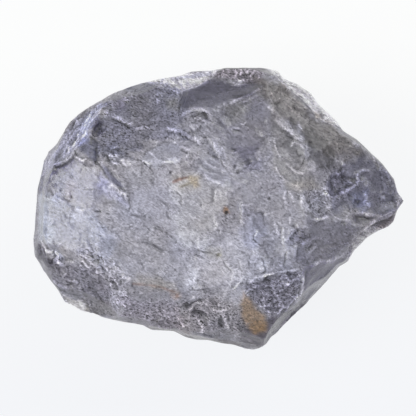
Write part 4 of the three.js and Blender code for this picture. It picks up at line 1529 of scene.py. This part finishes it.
@dataclass
class Crystal:
    """The rough stone.

    Attributes:
        grid: Width of the fine mesh in mm.
        budget: How many triangles the mesh may have before its ridges are refined.
        rounds: How long the seams of the broad break are smoothed.
        margin: How far from a ridge the mesh is made finer, in mm.
        widest: Half the width of the widest line that the mesh is made finer along, in mm.
        faintest: How much lighter or darker such a line is at least.
        levels: How finely weights are told apart.
    """

    grid: float = 0.13
    budget: int = 142_000
    rounds: int = 900
    margin: float = 0.05
    widest: float = 0.12
    faintest: float = 0.4
    levels: int = 32

    def build(self) -> bpy.types.Object:
        """Models the stone.

        Returns:
            The finished piece.
        """
        node = bpy.data.objects[NODE]
        piece = bpy.data.objects.new("iolite_rough", node.data.copy())
        bpy.context.scene.collection.objects.link(piece)
        self.remesh(piece)
        self.thin_out(piece)
        self.soften(piece)
        self.refine(piece)
        skin = Skin(piece.data)
        Carver(skin).carve()
        skin.write()
        piece.data.shade_smooth()
        return piece

    def remesh(self, piece: bpy.types.Object) -> None:
        """Turns the exact solid's few large faces into a fine, even mesh.

        Args:
            piece: The stone.
        """
        alone(piece)
        bpy.ops.object.mode_set(mode="EDIT")
        bpy.ops.mesh.select_all(action="SELECT")
        bpy.ops.mesh.remove_doubles(threshold=0.001 * MM)
        bpy.ops.object.mode_set(mode="OBJECT")
        remesh = piece.modifiers.new("grid", "REMESH")
        remesh.mode = "VOXEL"
        remesh.voxel_size = self.grid * MM
        apply_modifiers(piece)

    def thin_out(self, piece: bpy.types.Object) -> None:
        """Makes the mesh coarser underneath, where the stone is seldom seen.

        Args:
            piece: The stone.
        """
        mesh = piece.data
        self.weigh(piece, "underneath", soft_step((0.05 - Skin(mesh).normal[:, 2]) / 0.5))
        mesh.calc_loop_triangles()
        before = len(mesh.loop_triangles)
        thin = piece.modifiers.new("thin", "DECIMATE")
        thin.ratio = min(1.0, self.budget / before)
        thin.vertex_group = "underneath"
        thin.vertex_group_factor = 1.0
        apply_modifiers(piece)
        piece.vertex_groups.clear()
        piece.data.calc_loop_triangles()
        log.info("mesh: %d triangles, then %d", before, len(piece.data.loop_triangles))

    def soften(self, piece: bpy.types.Object) -> None:
        """Rounds the seams between the faces of the broad upper break.

        Args:
            piece: The stone.
        """
        skin = Skin(piece.data)
        share = np.zeros(len(skin.rest))
        for outline in EASED:
            share = np.maximum(share, fade(inside(outline, skin.plan), 2.0))
        self.weigh(piece, "eased", share * skin.facing(Facing.MARKS))
        easing = piece.modifiers.new("eased", "SMOOTH")
        easing.factor = 0.5
        easing.iterations = self.rounds
        easing.vertex_group = "eased"
        apply_modifiers(piece)
        piece.vertex_groups.clear()

    def refine(self, piece: bpy.types.Object) -> None:
        """Makes the mesh finer along the ridges and cracks.

        Args:
            piece: The stone.
        """
        mesh = piece.data
        skin = Skin(mesh)
        near = np.zeros(len(skin.rest), bool)
        for line in LINES:
            if line.wide > self.widest or abs(line.line_light) < self.faintest:
                continue
            found, far, _, _ = skin.along(line.path, self.margin + line.wide)
            near[found[far < self.margin + line.wide]] = True
        near &= skin.normal[:, 2] > 0.05
        mesh.vertices.foreach_set("select", near)
        mesh.edges.foreach_set("select", near[skin.edges].all(axis=1))
        corners = np.empty(len(mesh.loops), np.int32)
        mesh.loops.foreach_get("vertex_index", corners)
        starts = np.empty(len(mesh.polygons), np.int32)
        mesh.polygons.foreach_get("loop_start", starts)
        mesh.polygons.foreach_set("select", np.logical_and.reduceat(near[corners], starts))
        alone(piece)
        bpy.ops.object.mode_set(mode="EDIT")
        bpy.ops.mesh.subdivide(number_cuts=1)
        bpy.ops.object.mode_set(mode="OBJECT")
        mesh.calc_loop_triangles()
        log.info("along the ridges: %d triangles", len(mesh.loop_triangles))

    def weigh(self, piece: bpy.types.Object, name: str, weights: np.ndarray) -> None:
        """Makes a vertex group.

        Args:
            piece: The stone.
            name: The group's name.
            weights: One weight for each vertex, from 0 to 1.
        """
        group = piece.vertex_groups.new(name=name)
        levels = np.rint(weights * self.levels).astype(int)
        for level in range(1, self.levels + 1):
            chosen = np.flatnonzero(levels == level).tolist()
            group.add(chosen, level / self.levels, "REPLACE")


# -------------------- the finishes


@dataclass
class Wiring:
    """Adds nodes to a material.

    Attributes:
        tree: The material's node tree.
        at: The places that patterns are read at, in mm.
    """

    tree: bpy.types.NodeTree
    at: Socket = field(init=False)

    def __post_init__(self) -> None:
        """Finds the stone's own places and draws them out along the way it tore."""
        where = self.tree.nodes.new("ShaderNodeTexCoord")
        scale = self.tree.nodes.new("ShaderNodeVectorMath")
        scale.operation = "SCALE"
        scale.inputs["Scale"].default_value = 1 / MM
        self.tree.links.new(where.outputs["Object"], scale.inputs[0])
        torn = self.tree.nodes.new("ShaderNodeMapping")
        torn.vector_type = "TEXTURE"
        torn.inputs["Rotation"].default_value[2] = math.radians(-TORN)
        torn.inputs["Scale"].default_value = (1.6, 0.8, 1.0)
        self.tree.links.new(scale.outputs["Vector"], torn.inputs["Vector"])
        self.at = torn.outputs["Vector"]

    def sum(self, operation: str, *values: Socket | float) -> Socket:
        """Does one sum.

        Args:
            operation: Which sum.
            values: What goes in, each the result of a node or a number.

        Returns:
            The result.
        """
        node = self.tree.nodes.new("ShaderNodeMath")
        node.operation = operation
        for socket, value in zip(node.inputs, values):
            if isinstance(value, bpy.types.NodeSocket):
                self.tree.links.new(value, socket)
            else:
                socket.default_value = value
        return node.outputs[0]

    def added(self, *parts: tuple[Socket, float]) -> Socket:
        """Adds up several results.

        Args:
            parts: Each result and how strongly it counts.

        Returns:
            The total.
        """
        total: Socket | float = 0.0
        for socket, share in parts:
            total = self.sum("MULTIPLY_ADD", socket, share, total)
        return total

    def noise(self, size: float, detail: float, bend: float) -> Socket:
        """Soft noise.

        Args:
            size: Width of its largest features in mm.
            detail: How many sizes of detail it has.
            bend: How crooked it is.

        Returns:
            Values from 0 to 1.
        """
        node = self.tree.nodes.new("ShaderNodeTexNoise")
        node.inputs["Scale"].default_value = 1 / size
        node.inputs["Detail"].default_value = detail
        node.inputs["Distortion"].default_value = bend
        self.tree.links.new(self.at, node.inputs["Vector"])
        return node.outputs["Fac"]

    def between(self, value: Socket, come: Span, go: Span) -> Socket:
        """Carries a range of values over to another range, and holds it there.

        Args:
            value: The values.
            come: Lowest and highest value that come in.
            go: What they become.

        Returns:
            The new values.
        """
        node = self.tree.nodes.new("ShaderNodeMapRange")
        node.inputs["From Min"].default_value, node.inputs["From Max"].default_value = come
        node.inputs["To Min"].default_value, node.inputs["To Max"].default_value = go
        self.tree.links.new(value, node.inputs["Value"])
        return node.outputs["Result"]

    def saw(self, part: Socket) -> Socket:
        """Paints a highlight before a step's edge and a shadow behind it.

        Args:
            part: How far across the step a place is, from 0 to 1.

        Returns:
            Greys from 0.95 to 0.05.
        """
        ramp = self.tree.nodes.new("ShaderNodeValToRGB")
        stops = ramp.color_ramp.elements
        stops[0].position, stops[0].color = 0.0, (0.95, 0.95, 0.95, 1)
        stops[1].position, stops[1].color = 1.0, (0.05, 0.05, 0.05, 1)
        for place, grey in ((0.12, 0.58), (0.5, 0.5), (0.86, 0.44)):
            stops.new(place).color = (grey, grey, grey, 1)
        self.tree.links.new(part, ramp.inputs["Fac"])
        return ramp.outputs["Color"]


@dataclass(frozen=True)
class FineSteps:
    """Steps too fine for the mesh, drawn in the colour as thin painted highlights and shadows.

    Attributes:
        size: Width of the patches that the steps run around, in mm.
        levels: How many steps there are from a patch's middle to its edge.
        bend: How crooked they are.
        patch: Width of the places that have steps, in mm.
        sink: How far they go down, beside the height of the fine roughness.
    """

    size: float
    levels: float
    bend: float
    patch: float
    sink: float

    def wire(self, wiring: Wiring) -> tuple[Socket, Socket]:
        """Adds the steps' nodes.

        Args:
            wiring: What adds nodes.

        Returns:
            The painted highlights and shadows along the steps' edges, from -0.5 to 0.5, and the
            steps' heights.
        """
        hill = wiring.noise(self.size, 2.0, self.bend)
        part = wiring.sum("FRACT", wiring.sum("MULTIPLY", hill, self.levels))
        lines = wiring.sum("SUBTRACT", wiring.saw(part), 0.5)
        patches = wiring.between(wiring.noise(self.patch, 2.0, 0.5), (0.46, 0.58), (0.0, 1.0))
        return wiring.sum("MULTIPLY", lines, patches), wiring.sum("MULTIPLY", part, patches)


@dataclass(frozen=True)
class StoneFinish:
    """Translucent grey-violet stone with glassy, finely broken faces.

    Attributes:
        clear: Share of the light that goes into the stone.
        ior: How strongly it bends light.
        absorbs: Colour that is left after light has gone through it.
        density: How quickly it absorbs light, per metre.
        fleck: Width of the finest light and dark flecks in mm.
        wide_steps: The wider of the fine steps.
        narrow_steps: The narrower ones.
        contrast: How strongly flecks and the steps' painted highlights and shadows show where the
            stone is smooth and where rough.
        dull: Roughness where the stone is smooth and where it is rough.
        patchy: How much less and more that is from place to place.
        bumps: Width of the finest bumps in mm.
        high: Height of the finest bumps in mm.
        strong: How strong they are where the stone is smooth and where it is rough.
    """

    clear: float = 0.55
    ior: float = 1.54
    absorbs: Colour = (0.62, 0.63, 0.74)
    density: float = 70.0
    fleck: float = 0.13
    wide_steps: FineSteps = FineSteps(size=1.6, levels=9.0, bend=1.0, patch=1.4, sink=0.5)
    narrow_steps: FineSteps = FineSteps(size=0.8, levels=5.0, bend=0.8, patch=0.9, sink=0.4)
    contrast: Span = (0.5, 2.6)
    dull: Span = (0.14, 0.44)
    patchy: Span = (-0.05, 0.10)
    bumps: float = 0.3
    high: float = 0.03
    strong: Span = (0.2, 1.0)

    def make(self) -> bpy.types.Material:
        """Builds the material.

        Returns:
            The finished material.
        """
        material = bpy.data.materials.new("iolite")
        material.use_nodes = True
        nodes, links = material.node_tree.nodes, material.node_tree.links
        shader = nodes["Principled BSDF"]
        shader.inputs["IOR"].default_value = self.ior
        shader.inputs["Transmission Weight"].default_value = self.clear
        stone = nodes.new("ShaderNodeAttribute")
        stone.attribute_name = "stone"
        grit = stone.outputs["Alpha"]
        wiring = Wiring(material.node_tree)
        wide, wide_high = self.wide_steps.wire(wiring)
        narrow, narrow_high = self.narrow_steps.wire(wiring)

        flecks = wiring.between(wiring.noise(self.fleck, 5.0, 0.6), (0.3, 0.7), (-0.5, 0.5))
        # the base colour takes the flecks and the steps' painted highlights and shadows
        detail = wiring.added((flecks, 1.0), (wide, 1.0), (narrow, 1.0))
        contrast = wiring.between(grit, (0.0, 1.0), self.contrast)
        shade = nodes.new("ShaderNodeVectorMath")
        shade.operation = "SCALE"
        links.new(stone.outputs["Color"], shade.inputs[0])
        links.new(wiring.sum("MULTIPLY_ADD", detail, contrast, 1.0), shade.inputs["Scale"])
        links.new(shade.outputs["Vector"], shader.inputs["Base Color"])

        dull = wiring.between(grit, (0.0, 1.0), self.dull)
        patchy = wiring.between(wiring.noise(0.8, 4.0, 0.3), (0.3, 0.7), self.patchy)
        links.new(wiring.added((dull, 1.0), (patchy, 1.0)), shader.inputs["Roughness"])

        bumps = wiring.noise(self.bumps, 5.0, 1.2)
        sinks = (wide_high, -self.wide_steps.sink), (narrow_high, -self.narrow_steps.sink)
        bump = nodes.new("ShaderNodeBump")
        bump.inputs["Distance"].default_value = self.high * MM
        links.new(wiring.added((bumps, 1.0), *sinks), bump.inputs["Height"])
        links.new(wiring.between(grit, (0.0, 1.0), self.strong), bump.inputs["Strength"])
        links.new(bump.outputs["Normal"], shader.inputs["Normal"])

        depth = nodes.new("ShaderNodeVolumeAbsorption")
        depth.inputs["Color"].default_value = (*self.absorbs, 1.0)
        depth.inputs["Density"].default_value = self.density
        links.new(depth.outputs["Volume"], nodes["Material Output"].inputs["Volume"])
        return material


@dataclass(frozen=True)
class TableFinish:
    """A dull table top that glows a little like a light table, bluer towards the viewer.

    Attributes:
        base: Its own linear colour.
        roughness: How dull it is.
        far_glow: Colour of its light beyond the stone.
        near_glow: Colour of its light on the viewer's side.
        blend: How far away the first colour ends and how near the other begins, in metres.
    """

    base: Colour = (0.06, 0.06, 0.06)
    roughness: float = 0.6
    far_glow: Colour = (0.890, 0.896, 0.894)
    near_glow: Colour = (0.822, 0.834, 0.862)
    blend: Span = (0.014, -0.017)

    def make(self) -> bpy.types.Material:
        """Builds the material.

        Returns:
            The finished material.
        """
        material = bpy.data.materials.new("table_top")
        material.use_nodes = True
        nodes, links = material.node_tree.nodes, material.node_tree.links
        shader = nodes["Principled BSDF"]
        shader.inputs["Base Color"].default_value = (*self.base, 1)
        shader.inputs["Roughness"].default_value = self.roughness
        shader.inputs["Specular IOR Level"].default_value = 0.0
        shader.inputs["Emission Strength"].default_value = 1.0
        where = nodes.new("ShaderNodeTexCoord")
        split = nodes.new("ShaderNodeSeparateXYZ")
        near = nodes.new("ShaderNodeMapRange")
        near.inputs["From Min"].default_value, near.inputs["From Max"].default_value = self.blend
        glow = nodes.new("ShaderNodeMix")
        glow.data_type = "RGBA"
        glow.inputs["A"].default_value = (*self.far_glow, 1)
        glow.inputs["B"].default_value = (*self.near_glow, 1)
        links.new(where.outputs["Object"], split.inputs[0])
        links.new(split.outputs["Y"], near.inputs["Value"])
        links.new(near.outputs["Result"], glow.inputs["Factor"])
        links.new(glow.outputs["Result"], shader.inputs["Emission Color"])
        return material


# -------------------- the studio


@dataclass(frozen=True)
class Lamp:
    """A large soft lamp that shines on the stone.

    Attributes:
        name: Its name.
        place: Where it hangs, in metres.
        size: Its width in metres.
        power: Its power in watts.
    """

    name: str
    place: tuple[float, float, float]
    size: float
    power: float

    def hang(self) -> None:
        """Hangs the lamp."""
        light = bpy.data.lights.new(self.name, "AREA")
        light.energy = self.power
        light.size = self.size
        lamp = bpy.data.objects.new(self.name, light)
        lamp.location = self.place
        lamp.rotation_euler = (-Vector(self.place)).to_track_quat("-Z", "Y").to_euler()
        bpy.context.scene.collection.objects.link(lamp)


@dataclass(frozen=True)
class Studio:
    """A pale lit table, soft light and a camera straight above.

    Attributes:
        looks_at: The point in plan at the middle of the picture, in mm.
        level: Height of the plane that is in the picture at the stated width, in mm.
        across: Width of that plane in the picture, in mm.
        lens: Focal length of the camera in mm.
        film: Width of the camera's film in mm.
        nearest: How near the camera can see, in metres.
        table_size: Width of the table in metres.
        room: How bright the white room is.
        lamps: A lamp on the left, and a weaker one behind.
    """

    looks_at: tuple[float, float] = (-0.81, 0.06)
    level: float = 6.8
    across: float = 33.64
    lens: float = 250.0
    film: float = 36.0
    nearest: float = 0.01
    table_size: float = 4.0
    room: float = 0.7
    lamps: tuple[Lamp, ...] = (
        Lamp("key", (-0.34, -0.03, 0.26), size=0.34, power=1.9),
        Lamp("fill", (0.22, 0.26, 0.20), size=0.30, power=0.8),
    )

    def build(self) -> None:
        """Sets up the table, the lights and the camera."""
        self.table()
        self.lights()
        self.camera()
        bpy.context.scene.view_settings.view_transform = "Standard"

    def table(self) -> None:
        """Lays the table top."""
        bpy.ops.object.select_all(action="DESELECT")
        bpy.ops.mesh.primitive_plane_add(size=self.table_size)
        floor = bpy.context.object
        floor.name = "table_top"
        floor.data.materials.append(TableFinish().make())

    def lights(self) -> None:
        """Hangs the lamps and dims the room."""
        room = bpy.data.worlds.new("room")
        bpy.context.scene.world = room
        room.use_nodes = True
        walls = room.node_tree.nodes["Background"]
        walls.inputs["Color"].default_value = (1, 1, 1, 1)
        walls.inputs["Strength"].default_value = self.room
        for lamp in self.lamps:
            lamp.hang()

    def camera(self) -> None:
        """Hangs the camera."""
        optics = bpy.data.cameras.new("camera")
        optics.lens = self.lens
        optics.sensor_width = self.film
        optics.clip_start = self.nearest
        far = self.across * self.lens / self.film
        camera = bpy.data.objects.new("camera", optics)
        camera.location = (self.looks_at[0] * MM, self.looks_at[1] * MM, (self.level + far) * MM)
        bpy.context.scene.collection.objects.link(camera)
        bpy.context.scene.camera = camera


def main() -> None:
    """Builds the stone and the studio."""
    logging.basicConfig(level=logging.INFO, format="%(message)s")
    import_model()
    Studio().build()
    piece = Crystal().build()
    piece.data.materials.clear()
    piece.data.materials.append(StoneFinish().make())
    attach(piece, BODY)
    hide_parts(NODE)
    log.info("%s: %d faces", piece.name, len(piece.data.polygons))


if __name__ == "__main__":
    main()
